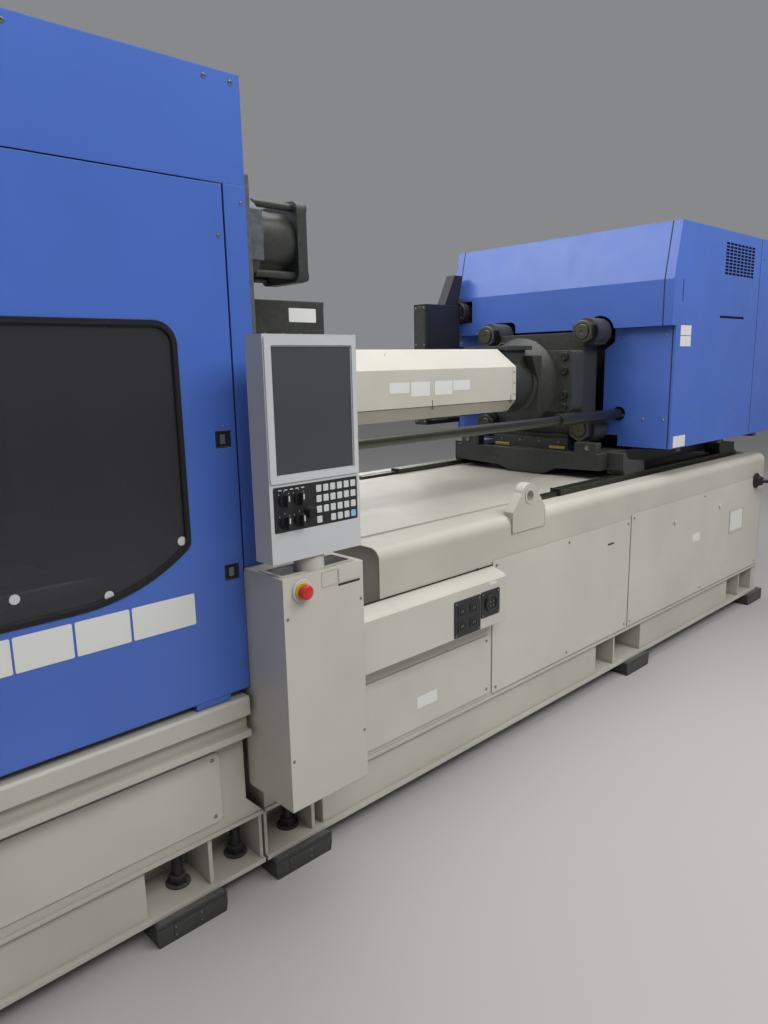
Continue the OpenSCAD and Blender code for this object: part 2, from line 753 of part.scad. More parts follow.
// Crosshead on the guide rods, with its nut and the pins of the short links
module crosshead()
  color(blue_steel) on_floor() difference()
  {
    union()
    {
      blk([cross_x - 60, cross_x + 60], [-134, 134], [axis_z - 250, axis_z + 250]);
      rod_along_x(62, [cross_x - 90, cross_x + 60], 0, axis_z);
      above_and_below() both_sides()
      {
        along_y([96, 134])
        {
          translate([cross_x, axis_z + cross_rise]) circle(cross_eye_r);
          translate([cross_x - cross_eye_r, axis_z + 200])
            square([2 * cross_eye_r, cross_rise - 200]);
        }
        rod_along_y(cross_pin_r, cross_x, [96, 176], axis_z + cross_rise);
      }
    }
    above_and_below()
      rod_along_x(guide_r + fit, [cross_x - 91, cross_x + 91], 0, axis_z + guide_rise);
    rod_along_x(screw_r + 0.06, [cross_x - 91, cross_x + 91], 0, axis_z);
  }

// Short links between the crosshead and the levers
module cross_link_pair()
  both_sides() along_y([lane_in + lane_gap, lane_a]) difference()
  {
    union()
    {
      translate([drive_x, axis_z + drive_rise]) circle(cross_pin_r + 20);
      translate([drive_x + cross_link_len, axis_z + drive_rise])
        circle(cross_eye_r);
      bar([drive_x, axis_z + drive_rise],
        [drive_x + cross_link_len, axis_z + drive_rise], 56);
    }
    translate([drive_x, axis_z + drive_rise]) circle(cross_pin_r + 0.06);
    translate([drive_x + cross_link_len, axis_z + drive_rise])
      circle(cross_pin_r + cross_clear);
  }
module upper_crosshead_links() color(steel) on_floor() cross_link_pair();
module lower_crosshead_links() color(steel) on_floor() below() cross_link_pair();

// Ball screw of the clamp
module clamp_screw()
  color(steel) on_floor()
  {
    rod_along_x(screw_r, [rear_front + 20, screw_end], 0, axis_z);
    rod_along_x(60, [rear_front + seat, rear_front + 24], 0, axis_z);
    rod_along_x(45, [rear_back + seat, rear_front + 1], 0, axis_z);
    rod_along_x(30, [rear_back - 78, rear_back + 1], 0, axis_z);
  }

// Moving platen with its toggle lugs, pins and ejector pocket
module moving_platen()
  color(blue_steel) on_floor()
  {
    difference()
    {
      union()
      {
        blk([mv_back, mv_face], [-slim_half, slim_half],
          [axis_z - slim_half, axis_z + slim_half]);
        both_sides() blk([mv_back + 20, mv_face - 20], [330, 450],
          [clamp_top + seat, axis_z - slim_half]);
      }
      four_round(tie_c, tie_c)
        rod_along_x(tie_d / 2 + 0.08, [mv_back - 1, mv_face + 1], 0, 0);
      blk([mv_back - 1, mv_back + 250], [-230, 230], [axis_z - 230, axis_z + 230]);
      four_round(100, 100) rod_along_x(eject_r + 0.06, [mv_back, mv_face + 1], 0, 0);
      rod_along_x(eject_r + 0.06, [mv_back, mv_face + 1], 0, axis_z);
      mould_holes([mv_face - 45, mv_face + 1]);
    }
    above_and_below() both_sides()
    {
      along_y([lane_a + lane_gap, lane_b]) translate([mv_pin, axis_z + pin_rise])
      {
        circle(lever_r);
        translate([0, -lever_r]) square([lug_reach + 1, 2 * lever_r]);
      }
      rod_along_y(pin_r, mv_pin, [lane_in + lane_gap, lane_out - 2], axis_z + pin_rise);
    }
  }

// Ejector plate with its five rods
module ejector_plate()
  color(steel) on_floor()
  {
    blk([mv_back + 10, mv_back + 55], [-200, 200], [axis_z - 200, axis_z + 200]);
    four_round(100, 100) rod_along_x(eject_r, [mv_back + 54, mv_face - 5], 0, 0);
    rod_along_x(eject_r, [mv_back + 54, mv_face - 5], 0, axis_z);
  }

// Carriage on the rails
beam_front = flange_x + 40;
carriage_back = bear_x + 60;
bar_top = hood_low - 17;
module carriage_shoe(x)
  along_y([439, 530]) polygon([[x, bed_top + 18 + seat], [x + 190, bed_top + 18 + seat],
    [x + 190, 978], [x + 40, 988], [x + 6, bar_top + 4], [x - 14, bar_top + 4],
    [x - 14, 946], [x, 940]]);
module carriage()
  color(dark_grey) on_floor()
  {
    // Front beam with a drop in the middle
    along_x([beam_front, beam_front + 60]) polygon([[-430, bar_top], [-430, 947],
      [-194, 940], [-127, 908], [86, 905], [161, 931], [455, 944], [455, bar_top]]);
    both_sides()
    {
      blk([beam_front, carriage_back], [300, 440], [946, bar_top]);
      blk([beam_front, beam_front + 50], [303, 420], [bar_top - 1, 1077]);
      carriage_shoe(beam_front + 85);
      carriage_shoe(carriage_back - 195);
      for (x = [beam_front + 330, beam_front + 810, carriage_back - 90])
        blk([x, x + 40], [439, side_y - sheet_t], [hood_low - 18, hood_low + 12]);
    }
    blk([beam_front, carriage_back], [-301, 301], [985, 1010]);
    blk([beam_front + 50, front_x], [-231, 231], [1009, 1085]);
    blk([beam_front + 70, front_x], [-222, 222], [1084, 1105]);
    blk([front_x - 1, front_x + front_t], [-226, 226], [1009, 1105]);
  }

// Feed housing: barrel seat, flange plate and front plate in one casting
module feed_housing()
  color(dark_grey) on_floor() difference()
  {
    union()
    {
      rod_along_x(feed_r, [feed_left, flange_x], 0, axis_z);
      blk([barrel_end + 12, barrel_end + 34], [-168, 168], [axis_z - 138, axis_z + 128]);
      both_sides() along_y([-166, -120]) polygon([[barrel_end - 41, axis_z + 128],
        [barrel_end + 34, axis_z + 128], [barrel_end + 34, axis_z + 18],
        [barrel_end + 12, axis_z + 18]]);
      translate([barrel_end + 1, 0, axis_z]) rotate([0, 90, 0])
        cylinder(r1 = 150, r2 = 215, h = flange_x - barrel_end - 1);
      along_x([flange_x, flange_x + flange_t]) rounded([-310, 310], [1227, 1520], 24, 24);
      rod_along_x(130, [flange_x + flange_t - 1, front_x + 1], 0, axis_z);
      along_x([front_x, front_x + front_t])
      {
        rounded([-285, 285], [1105, axis_z + rod_z - 26], 30, 10);
        for (sy = [-1, 1], sz = [-1, 1]) translate([sy * rod_y, axis_z + sz * rod_z])
          circle(66);
        translate([-rod_y - 40, axis_z + rod_z - 60]) square([2 * rod_y + 80, 60]);
        translate([-rod_y, 1105]) square([2 * rod_y, 79]);
      }
      blk([hopper_x - 80, hopper_x + 80], [-110, 110], [axis_z, hopper_z - 18]);
      blk([hopper_x - 90, hopper_x + 108], [-130, 130], [hopper_z - 20, hopper_z]);
    }
    rod_along_x(barrel_r + fit, [feed_left - 1, barrel_end], 0, axis_z);
    rod_along_x(bore_r + 1, [barrel_end - 1, front_x + front_t + 1], 0, axis_z);
    rod_along_z(throat_r + 6, hopper_x, 0, [axis_z + 60, axis_z + 101]);
    rod_along_z(throat_r, hopper_x, 0, [axis_z + 100, hopper_z + 1]);
    for (x = [-60, 60], y = [-90, 90])
      rod_along_z(6.8, hopper_x + x, y, [hopper_z - 40, hopper_z + 1], 32);
    four_round(rod_y, rod_z)
      rod_along_x(rod_r + fit, [front_x - 1, front_x + front_t + 1], 0, 0);
  }
hopper_x = flange_x - 190;
hopper_z = 1545;
throat_r = 45;

// Barrel with the feed opening
module barrel()
  color(steel) on_floor() difference()
  {
    rod_along_x(barrel_r, [barrel_left, barrel_end], 0, axis_z);
    rod_along_x(bore_r, [barrel_left + 20, barrel_end + 1], 0, axis_z);
    rod_along_x(12, [barrel_left - 1, barrel_left + 21], 0, axis_z);
    rod_along_z(throat_r - 3, hopper_x, 0, [axis_z, axis_z + 100]);
  }

// Heater bands round the barrel
module heater_bands()
  color(steel) on_floor() for (x = band_x) difference()
  {
    rod_along_x(100, [x, x + 90], 0, axis_z);
    rod_along_x(barrel_r, [x - 1, x + 91], 0, axis_z);
  }
band_x = [for (k = [0:8]) barrel_left + (k > 0 ? 40 : 30) + 140 * k];

// Nozzle with its adapter
module nozzle()
  color(steel) on_floor() difference()
  {
    union()
    {
      rod_along_x(62, [barrel_left - 45, barrel_left], 0, axis_z);
      rod_along_x(28, [barrel_left - 215, barrel_left - 44], 0, axis_z);
      translate([barrel_left - 230, 0, axis_z]) rotate([0, 90, 0])
        cylinder(r1 = 12, r2 = 28, h = 16);
    }
    rod_along_x(12, [barrel_left - 140, barrel_left + 1], 0, axis_z);
    rod_along_x(3, [barrel_left - 231, barrel_left - 139], 0, axis_z, 24);
  }

// Sheet cover round the barrel, open below
module cover_outline(i)
  polygon([[-150 + i, 1244], [-200 + i, 1297], [-200 + i, 1448 - i / 3], [-90, 1530 - i],
    [90, 1530 - i], [200 - i, 1448 - i / 3], [200 - i, 1297], [150 - i, 1244]]);
cover_left = barrel_left + 140;
cover_right = feed_left - 2;
module barrel_cover()
  color([0.90, 0.90, 0.89]) on_floor() difference()
  {
    along_x([cover_left, cover_right]) cover_outline(0);
    rod_along_x(barrel_r, [cover_left - 1, cover_right + 1], 0, axis_z);
    for (x = [[cover_left + sheet_t, cover_left + 24], [cover_left + 27, cover_right - 26],
      [cover_right - 23, cover_right - sheet_t]])
    {
      along_x(x) cover_outline(sheet_t);
      blk(x, [-149, 149], [1243, 1260]);
    }
  }

// Tie rods of the injection unit with their round nuts
module injection_tie_rods()
  color(oiled) on_floor() four_round(rod_y, rod_z)
  {
    rod_along_x(rod_r, [front_x - 38, bear_x + 140], 0, 0);
    rod_along_x(62, [front_x - 40, front_x - 8], 0, 0, 6);
    rod_along_x(66, [front_x - 9, front_x], 0, 0);
    rod_along_x(62, [bear_x + bear_t, bear_x + bear_t + 42], 0, 0, 6);
  }

// Rear plate of the injection unit
module rear_bearing_plate()
  color(dark_grey) on_floor() difference()
  {
    along_x([bear_x, bear_x + bear_t]) rounded([-360, 360], [hood_low, axis_z + 310], 10, 40);
    four_round(rod_y, rod_z) rod_along_x(rod_r + fit, [bear_x - 1, bear_x + bear_t + 1], 0, 0);
    rod_along_x(30 + fit, [bear_x - 1, bear_x + bear_t + 1], 0, axis_z);
  }

// Outer form of the hood, set in by i
module hood_form(i)
  along_y([-hood_half + i, hood_half - i]) polygon([[hood_left + i, apron_z - i],
    [hood_left + i, crease_z], [hood_left + roof_setback + i, hood_top - i],
    [hood_right - i, hood_top - i], [hood_right - i, hood_low - i],
    [cover_x - i, hood_low - i], [cover_x - i, apron_z - i]]);

// Corner of the vent grille in the hood's side
vent_x = hood_left + 539;
vent_z = hood_top - 210;

// Sheet hood over the drive end of the injection unit
module injection_hood()
  color(blue) on_floor()
  {
    difference()
    {
      hood_form(0);
      hood_form(sheet_t);
      // Arch on the operator side and a squarer notch on the rear side, round the front plate
      rod_along_x(rod_r + 42, [hood_left - 10, hood_left + 10], -rod_y, axis_z + rod_z);
      along_x([hood_left - 10, hood_left + 10])
        rounded([rod_y - 76, rod_y + 76], [apron_z - 40, axis_z + rod_z + 74], 5, 30);
      blk([hood_left - 10, hood_left + 90], [524, hood_half + 1],
        [crease_z - 137, crease_z - 18]);
      for (k = [0:7], m = [0:9])
        blk([vent_x + k * 46, vent_x + k * 46 + 39], [-hood_half - 1, -hood_half + 4],
          [vent_z + m * 16, vent_z + m * 16 + 11]);
      blk([hood_left + 90, hood_left + 97], [-hood_half - 1, -hood_half + 4],
        [crease_z - 98, crease_z]);
      blk([hood_left + 512, hood_left + 810], [-hood_half - 1, -hood_half + 4],
        [apron_z + 45, apron_z + 57]);
    }
    // Frame that rests on the rear plate
    both_sides() blk([bear_x + 10, bear_x + 60], [180, 220],
      [axis_z + 310, hood_top - sheet_t + 1]);
  }

// Lower front covers of the hood
module lower_covers()
  color(blue) on_floor() both_sides() difference()
  {
    union()
    {
      blk([cover_x - 12, cover_x - 9], [-hood_half, -306], [hood_low, apron_z]);
      blk([cover_x - 10, cover_x], [-hood_half, -hood_half + sheet_t], [hood_low, apron_z]);
      blk([cover_x - 10, cover_x + 88], [-309, -306], [hood_low + 54, apron_z - 103]);
    }
    four_round(rod_y, rod_z) rod_along_x(42, [hood_left - 10, cover_x + 108], 0, 0);
    rod_along_x(touch_r + 14, [hood_left - 10, cover_x + 18], -touch_y, touch_z);
    blk([cover_x - 22, cover_x + 93], [-392, -305], [hood_low - 1, hood_low + 54]);
    along_x([cover_x - 22, cover_x + 93]) polygon([[-305, apron_z - 103],
      [-359, apron_z - 63], [-359, apron_z + 1], [-305, apron_z + 1]]);
  }

// Cable column on the rear side of the unit
module junction_box()
  color(dark_grey) on_floor()
  {
    blk([flange_x - 70, flange_x + 40], [584, 676], [1130, 1790]);
    along_y([584, 660]) polygon([[flange_x + 39, 1130], [flange_x + 210, 1130],
      [flange_x + 210, 1790], [flange_x + 39, 1790]]);
    along_y([590, 650]) polygon([[flange_x + 90, 1789], [flange_x + 200, 1789],
      [flange_x + 240, 1955], [flange_x + 175, 1955]]);
    blk([flange_x + 209, hood_left + 40], [584, 660], [1300, 1560]);
  }

// Motor of the injection axis
module injection_motor()
  color(dark_grey) on_floor() difference()
  {
    union()
    {
      rod_along_x(150, [bear_x + 100, bear_x + 450], 0, axis_z);
      rod_along_x(180, [bear_x + bear_t, bear_x + 101], 0, axis_z);
    }
    rod_along_x(25 + fit, [bear_x + bear_t - 1, bear_x + 140], 0, axis_z);
  }

// Motor that turns the screw
module metering_motor()
  color(black) on_floor()
  {
    rod_along_x(58, [hood_left - 36, hood_left + 300], 603, 1750);
    blk([hood_left + 80, hood_left + 92], [532, side_y - sheet_t], [1680, 1830]);
  }

// Plate that carries the screw and the nut of the injection axis
module injection_plate()
  color(dark_grey) on_floor() difference()
  {
    union()
    {
      along_x([drive_plate_x, drive_plate_x + 120]) rounded([-rod_y - 66, rod_y + 66],
        [axis_z - rod_z - 66, axis_z + rod_z + 66], 66, 66);
      rod_along_x(62, [drive_plate_x + 119, drive_plate_x + 520], 0, axis_z);
    }
    four_round(rod_y, rod_z) 
      rod_along_x(rod_r + 0.08, [drive_plate_x - 1, drive_plate_x + 121], 0, 0);
    rod_along_x(50 + fit, [drive_plate_x - 1, drive_plate_x + 60], 0, axis_z);
    rod_along_x(30.06, [drive_plate_x + 140, drive_plate_x + 521], 0, axis_z);
  }

// Plasticising screw with its flights as a coarse core and tip
module plasticising_screw()
  color(steel) on_floor()
  {
    rod_along_x(bore_r - 9, [barrel_left + 60, hopper_x + 30], 0, axis_z);
    translate([barrel_left + 30, 0, axis_z]) rotate([0, 90, 0])
      cylinder(r1 = 4, r2 = bore_r - 9, h = 31);
    for (x = [barrel_left + 80:68:hopper_x + 20])
      rod_along_x(bore_r - fit, [x, x + 8], 0, axis_z);
    rod_along_x(bore_r - fit, [hopper_x + 29, hood_left + 6], 0, axis_z);
    rod_along_x(44, [hood_left + 5, drive_plate_x - 10], 0, axis_z);
    rod_along_x(50, [drive_plate_x - 11, drive_plate_x + 59], 0, axis_z);
  }

// Ball screw of the injection axis
module injection_ball_screw()
  color(steel) on_floor()
  {
    rod_along_x(30, [bear_x - 450, bear_x + bear_t], 0, axis_z);
    rod_along_x(25, [bear_x + bear_t - 1, bear_x + 138], 0, axis_z);
    rod_along_x(46, [bear_x - 24, bear_x - seat], 0, axis_z);
  }

// Hinged guard over the nozzle
module purge_guard()
  color(dark_grey) on_floor()
  {
    difference()
    {
      blk([290, 640], [-300, 300], [1160, 1680]);
      blk([289, 641], [-300 + sheet_t, 300 - sheet_t], [1159, 1680 - sheet_t]);
      both_sides() along_y([-301, -296]) rounded([380, 560], [1260, 1560], 20, 20);
    }
    rod_along_y(6, guard_x, [-315, 315], guard_z, 32);
  }

// Operator panel case
module hmi_case()
  color(pale_grey) on_floor() difference()
  {
    blk([hmi_x, hmi_x + hmi_w], [-front_reach, -front_reach + hmi_t],
      [hmi_low, hmi_low + hmi_h]);
    blk([hmi_x + 24, hmi_x + 264], [-front_reach - 1, -front_reach + 6],
      [hmi_low + 216, hmi_low + 516]);
    blk([hmi_x + 10, hmi_x + 275], [-front_reach - 1, -front_reach + 1],
      [hmi_low + 76, hmi_low + 188]);
    blk([hmi_x + 4, hmi_x + hmi_w - 4], [-front_reach + 14, -front_reach + hmi_t - 3],
      [hmi_low + 40, hmi_low + hmi_h - 4]);
    for (x = [40:40:240]) blk([hmi_x + x, hmi_x + x + 12],
      [-front_reach + hmi_t - 4, -front_reach + hmi_t + 1], [hmi_low + 300, hmi_low + 420]);
    rod_along_z(25 + fit, pivot_x, pivot_y, [hmi_low - 1, hmi_low + 24]);
    for (x = switch_x, z = switch_z)
      rod_along_y(switch_stem_r + fit, x, [-front_reach - 1, -front_reach + 15], z);
  }
hmi_x = pedestal_x0 - 25;

// Screen of the operator panel
module hmi_screen()
  color(black) on_floor() blk([hmi_x + 24, hmi_x + 264],
    [-front_reach + 1, -front_reach + 6], [hmi_low + 216, hmi_low + 516]);

// Four selector switches on the panel
switch_x = [36, 80];
switch_z = [1103, 1157];
switch_stem_r = 8;
module selector(x, z)
  color(black) on_floor()
  {
    rod_along_y(switch_stem_r, x, [-front_reach - 1, -front_reach + 24], z);
    rod_along_y(15, x, [-front_reach - 7, -front_reach + 1 - seat], z);
    blk([x - 4, x + 4], [-front_reach - 22, -front_reach - 6], [z - 15, z + 15]);
  }
module selector_switch_1() selector(switch_x[0], switch_z[1]);
module selector_switch_2() selector(switch_x[1], switch_z[1]);
module selector_switch_3() selector(switch_x[0], switch_z[0]);
module selector_switch_4() selector(switch_x[1], switch_z[0]);

// Sprung emergency stop button
module emergency_stop_button()
  color([0.75, 0.06, 0.05]) on_floor()
  {
    rod_along_y(stop_stem_r, stop_x, [-front_reach - 15, -front_reach + 23], stop_z);
    rod_along_y(stop_r, stop_x, [-front_reach - stop_proud, -front_reach - 13], stop_z);
  }

clamp_base();
injection_base();
leveling_wedges();
leveling_bolts();
side_panels();
service_box();
control_pedestal();
lifting_lugs();
gate_rails();
stationary_platen();
tie_bars();
tie_bar_nuts();
nut_retainers();
top_cover();
gate_posts();
clamp_hood();
bed_deck();
carriage_rails();
nozzle_touch_rods();
operator_gate();
gate_window();
rear_gate();
rear_gate_window();
rear_platen();
die_height_nuts();
clamp_motor();
upper_levers();
lower_levers();
upper_links();
lower_links();
crosshead();
upper_crosshead_links();
lower_crosshead_links();
clamp_screw();
moving_platen();
ejector_plate();
carriage();
feed_housing();
barrel();
heater_bands();
nozzle();
barrel_cover();
injection_tie_rods();
rear_bearing_plate();
injection_hood();
lower_covers();
junction_box();
injection_motor();
metering_motor();
injection_plate();
plasticising_screw();
injection_ball_screw();
purge_guard();
hmi_case();
hmi_screen();
selector_switch_1();
selector_switch_2();
selector_switch_3();
selector_switch_4();
emergency_stop_button();
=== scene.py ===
# %% [markdown]
# # An injection moulding machine, dressed for a studio picture
#
# The machine has two halves. On the left, blue sliding gates close off the clamp, where the
# mould opens and shuts. On the right, the injection unit stands on a raised grey bed: a barrel
# under a white cover, a dark casting that holds it, and a blue hood over the drives.
#
# The large solids come from a CAD model as a fixed frame. This script gives them their finish
# and adds the small things that a solid model leaves out: screws, seams, keys, latches, plates.
#
# ## Load the frame
#
# Every CAD node arrives as its own object, in metres, with its place in its mesh.

# %% Load the CAD model as a frame
import json
import math
from itertools import product
import bmesh
import bpy
from mathutils import Matrix, Vector


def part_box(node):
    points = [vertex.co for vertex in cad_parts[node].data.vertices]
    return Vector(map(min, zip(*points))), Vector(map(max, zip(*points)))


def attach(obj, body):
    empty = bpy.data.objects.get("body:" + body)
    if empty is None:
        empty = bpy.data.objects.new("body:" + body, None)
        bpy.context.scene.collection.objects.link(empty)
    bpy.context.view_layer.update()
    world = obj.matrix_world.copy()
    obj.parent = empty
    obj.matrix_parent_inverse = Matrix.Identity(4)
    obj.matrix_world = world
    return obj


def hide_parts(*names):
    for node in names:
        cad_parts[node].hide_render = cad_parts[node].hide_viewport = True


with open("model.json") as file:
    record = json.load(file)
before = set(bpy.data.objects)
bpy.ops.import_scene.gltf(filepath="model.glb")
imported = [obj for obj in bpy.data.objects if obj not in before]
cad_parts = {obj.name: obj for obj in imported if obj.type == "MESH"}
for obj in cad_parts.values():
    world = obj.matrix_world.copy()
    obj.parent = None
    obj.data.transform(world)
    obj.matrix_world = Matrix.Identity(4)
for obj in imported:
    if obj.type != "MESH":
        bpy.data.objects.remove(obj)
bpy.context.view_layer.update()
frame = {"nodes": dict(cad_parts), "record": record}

# %% [markdown]
# ## One ruler for the whole machine
#
# The machine was drawn in millimetres, with x = 0 on the injection side of the mould area,
# y = 0 on the screw axis and z = 0 on the floor. The frame is in metres round the centre of the
# footprint. One small function turns a machine place into a frame place, so every later number
# can be read off a drawing of the machine.
#
# Three upright faces carry most of the small things: the side of the bed and the hood, the cover
# of the mould area with its gate, and the front of the operator panel.

# %% From machine millimetres to frame metres
CENTRE = (400.0, -93.0)
AXIS_Z = 1370.0
SIDE_FACE, COVER_FACE, PANEL_FACE = 668.0, 698.0, 868.0


def at(x, y, z):
    return Vector(((x - CENTRE[0]) / 1000, (y - CENTRE[1]) / 1000, z / 1000))


print("screw axis in the frame:", [round(v, 3) for v in at(0, 0, AXIS_Z)])

# %% [markdown]
# ## The camera
#
# The picture was taken by hand, from the operator's side, about as high as a person's eyes and
# close to the blue gate. The vanishing lines of the machine give the three turns of the camera:
# 43.3 degrees to the right, 11.3 down, and a tilt of one degree. Building the camera's own axes
# from those angles is safer than three Euler turns, because no order of turning can be mixed up.

# %% Camera at the photographer's place
yaw, pitch, roll = (math.radians(v) for v in (43.283, 11.255, 1.174))
ahead = Vector((math.sin(yaw) * math.cos(pitch), math.cos(yaw) * math.cos(pitch), -math.sin(pitch)))
level_right = Vector((math.cos(yaw), -math.sin(yaw), 0))
level_down = ahead.cross(level_right)
right = math.cos(roll) * level_right + math.sin(roll) * level_down
down = -math.sin(roll) * level_right + math.cos(roll) * level_down

camera_data = bpy.data.cameras.new("camera")
camera_data.lens = 26.24
camera_data.sensor_width = 36
camera = bpy.data.objects.new("camera", camera_data)
bpy.context.scene.collection.objects.link(camera)
camera.matrix_world = Matrix((
    (right.x, -down.x, -ahead.x, -1.400),
    (right.y, -down.y, -ahead.y, -2.225),
    (right.z, -down.z, -ahead.z, 1.475),
    (0, 0, 0, 1)))
bpy.context.scene.camera = camera
print("camera looks along", [round(v, 3) for v in ahead])

# %% [markdown]
# ## Floor and light
#
# A real hall is full of coloured reflections. A studio needs only a pale floor and large, soft
# lamps: one broad lamp overhead, as the hall's roof lights would be, one from the operator's
# side that models the grey panels, and two weaker ones from behind for the edges. Area lamps
# are the simplest soft light, and their size sets how soft a shadow's edge is.

# %% Pale floor
def new_material(name, **values):
    material = bpy.data.materials.new(name)
    material.use_nodes = True
    shader = material.node_tree.nodes["Principled BSDF"]
    for label, value in values.items():
        shader.inputs[label.replace("_", " ")].default_value = value
    return material, shader


floor_mesh = bpy.data.meshes.new("floor")
floor_mesh.from_pydata([(-30, -30, 0), (30, -30, 0), (30, 30, 0), (-30, 30, 0)], [], [(0, 1, 2, 3)])
floor_mesh.materials.append(new_material("pale_floor", Base_Color=(0.42, 0.41, 0.40, 1), Roughness=0.55)[0])
floor = bpy.data.objects.new("floor", floor_mesh)
bpy.context.scene.collection.objects.link(floor)


# %% Soft lamps and an even surround
def softbox(name, place, target, size, power):
    data = bpy.data.lights.new(name, "AREA")
    data.shape = "RECTANGLE"
    data.size, data.size_y = size
    data.energy = power
    lamp = bpy.data.objects.new(name, data)
    bpy.context.scene.collection.objects.link(lamp)
    lamp.location = place
    lamp.rotation_euler = (Vector(target) - Vector(place)).to_track_quat("-Z", "Y").to_euler()
    return lamp


softbox("roof_light", (0.8, 0.2, 5.2), (0.6, 0.0, 0.0), (7.0, 4.0), 215)
side_light = softbox("operator_side_light", (1.0, -3.9, 4.4), (0.7, -0.6, 1.1), (6.5, 1.8), 200)
side_light.visible_glossy = False
softbox("far_side_light", (3.5, 5.0, 3.4), (1.5, 0.5, 1.2), (4.0, 2.0), 120)
softbox("clamp_end_light", (-2.0, 3.2, 4.6), (2.0, 0.0, 1.9), (3.0, 1.6), 90)

world = bpy.data.worlds.new("studio")
bpy.context.scene.world = world
world.use_nodes = True
surround = world.node_tree.nodes["Background"].inputs
surround["Color"].default_value = (0.80, 0.82, 0.85, 1)
surround["Strength"].default_value = 0.30
bpy.context.scene.view_settings.view_transform = "Standard"

# %% [markdown]
# ## Small helpers for shader nodes
#
# Materials here are built from nodes in code. A few helpers keep that readable: one makes a node
# and fills its sockets, with numbers or with links, and one opens a new node group with named
# inputs and outputs. A group is a part of a material that several materials share.

# %% Helpers: put a node, plain sums, noise
def put(tree, kind, values=None, **settings):
    node = tree.nodes.new(kind)
    for key, value in settings.items():
        setattr(node, key, value)
    for key, value in (values or {}).items():
        socket = node.inputs[key]
        if isinstance(value, bpy.types.NodeSocket):
            tree.links.new(value, socket)
        elif socket.type == "RGBA":
            socket.default_value = (*value, 1)
        else:
            socket.default_value = value
    return node


def math_node(tree, operation, a, b, clamp=False):
    return put(tree, "ShaderNodeMath", {0: a, 1: b}, operation=operation, use_clamp=clamp).outputs[0]


def spread(tree, value, low, high, out_low=0.0, out_high=1.0):
    return put(tree, "ShaderNodeMapRange", {"Value": value, "From Min": low, "From Max": high,
               "To Min": out_low, "To Max": out_high}).outputs["Result"]


def noise(tree, where, scale, detail, roughness=0.5, distortion=0.0):
    return put(tree, "ShaderNodeTexNoise", {"Vector": where, "Scale": scale, "Detail": detail,
               "Roughness": roughness, "Distortion": distortion}).outputs["Fac"]


# %% Helpers: open and close a group
def open_group(name, inputs, outputs):
    group = bpy.data.node_groups.new(name, "ShaderNodeTree")
    for label, value in inputs.items():
        kind = "NodeSocketVector" if isinstance(value, tuple) else "NodeSocketFloat"
        group.interface.new_socket(label, in_out="INPUT", socket_type=kind).default_value = value
    for label in outputs:
        kind = "NodeSocketVector" if label == "Normal" else "NodeSocketFloat"
        group.interface.new_socket(label, in_out="OUTPUT", socket_type=kind)
    return group, group.nodes.new("NodeGroupInput").outputs, group.nodes.new("NodeGroupOutput")


def close_group(group, end, **results):
    for label, value in results.items():
        group.links.new(value, end.inputs[label])
    print("group", group.name, "gives", ", ".join(results))


# %% [markdown]
# ## Effect: softened edges
#
# No sheet metal or casting has an edge of zero radius. A folded sheet is rounded by about its own
# thickness, and the bright line that this makes tells the eye it is metal. The Bevel node turns
# the shading near an edge without touching the mesh. Where the bevelled normal leaves the true
# one, we are close to an edge: that difference is also a mask for worn paint.

# %% Group: softened edges
group, given, end = open_group("soft_edges", {"Radius": 0.003}, ("Normal", "Edge"))
bevel = put(group, "ShaderNodeBevel", {"Radius": given["Radius"]}, samples=4).outputs["Normal"]
true_normal = put(group, "ShaderNodeNewGeometry").outputs["Normal"]
likeness = put(group, "ShaderNodeVectorMath", {0: bevel, 1: true_normal}, operation="DOT_PRODUCT")
close_group(group, end, Normal=bevel, Edge=spread(group, likeness.outputs["Value"], 0.995, 0.88))

# %% [markdown]
# ## Effect: dust on top faces
#
# A machine that stands in a hall for some weeks gets a thin grey film on everything that faces
# up, thicker in some places than in others. The surface normal's Z is the mask, and a soft noise
# breaks it up, so that no deck looks freshly washed.

# %% Group: dust
group, given, end = open_group("dust", {"Amount": 0.3, "Scale": 4.0}, ("Mask",))
true_normal = put(group, "ShaderNodeNewGeometry").outputs["Normal"]
facing = put(group, "ShaderNodeSeparateXYZ", {0: true_normal})
place = put(group, "ShaderNodeTexCoord").outputs["Object"]
flat = spread(group, facing.outputs["Z"], 0.55, 0.98)
patchy = spread(group, noise(group, place, given["Scale"], 6.0, 0.62), 0.30, 0.72)
mask = math_node(group, "MULTIPLY", flat, patchy)
close_group(group, end, Mask=math_node(group, "MULTIPLY", mask, given["Amount"], clamp=True))

# %% [markdown]
# ## Effect: painted shade and grime in corners
#
# Corners collect what a cloth can't reach, and they also receive less light. An ambient occlusion
# node finds them, and the darkening it drives is painted shade as well as grime. It is used with a
# short reach and a light hand, so that it darkens the seams and not the whole side of the machine.

# %% Group: painted corner shade and grime
group, given, end = open_group("corner_shade_and_grime", {"Reach": 0.04, "Amount": 0.5}, ("Mask",))
# The darkening that this mask drives is painted shade in the corners, together with grime.
open_air = put(group, "ShaderNodeAmbientOcclusion", {"Distance": given["Reach"]}, samples=4).outputs["AO"]
hidden = spread(group, open_air, 0.9, 0.25)
close_group(group, end, Mask=math_node(group, "MULTIPLY", hidden, given["Amount"], clamp=True))

# %% [markdown]
# ## Effect: the skin of sprayed paint
#
# Sprayed machine paint isn't a mirror. Its surface has a fine ripple, called orange peel, about
# two millimetres from crest to crest, and large panels differ a little in tone where the gun
# passed twice. Three noises at three sizes give the ripple, the tone and the smudges that hands
# and cloths leave in the gloss.

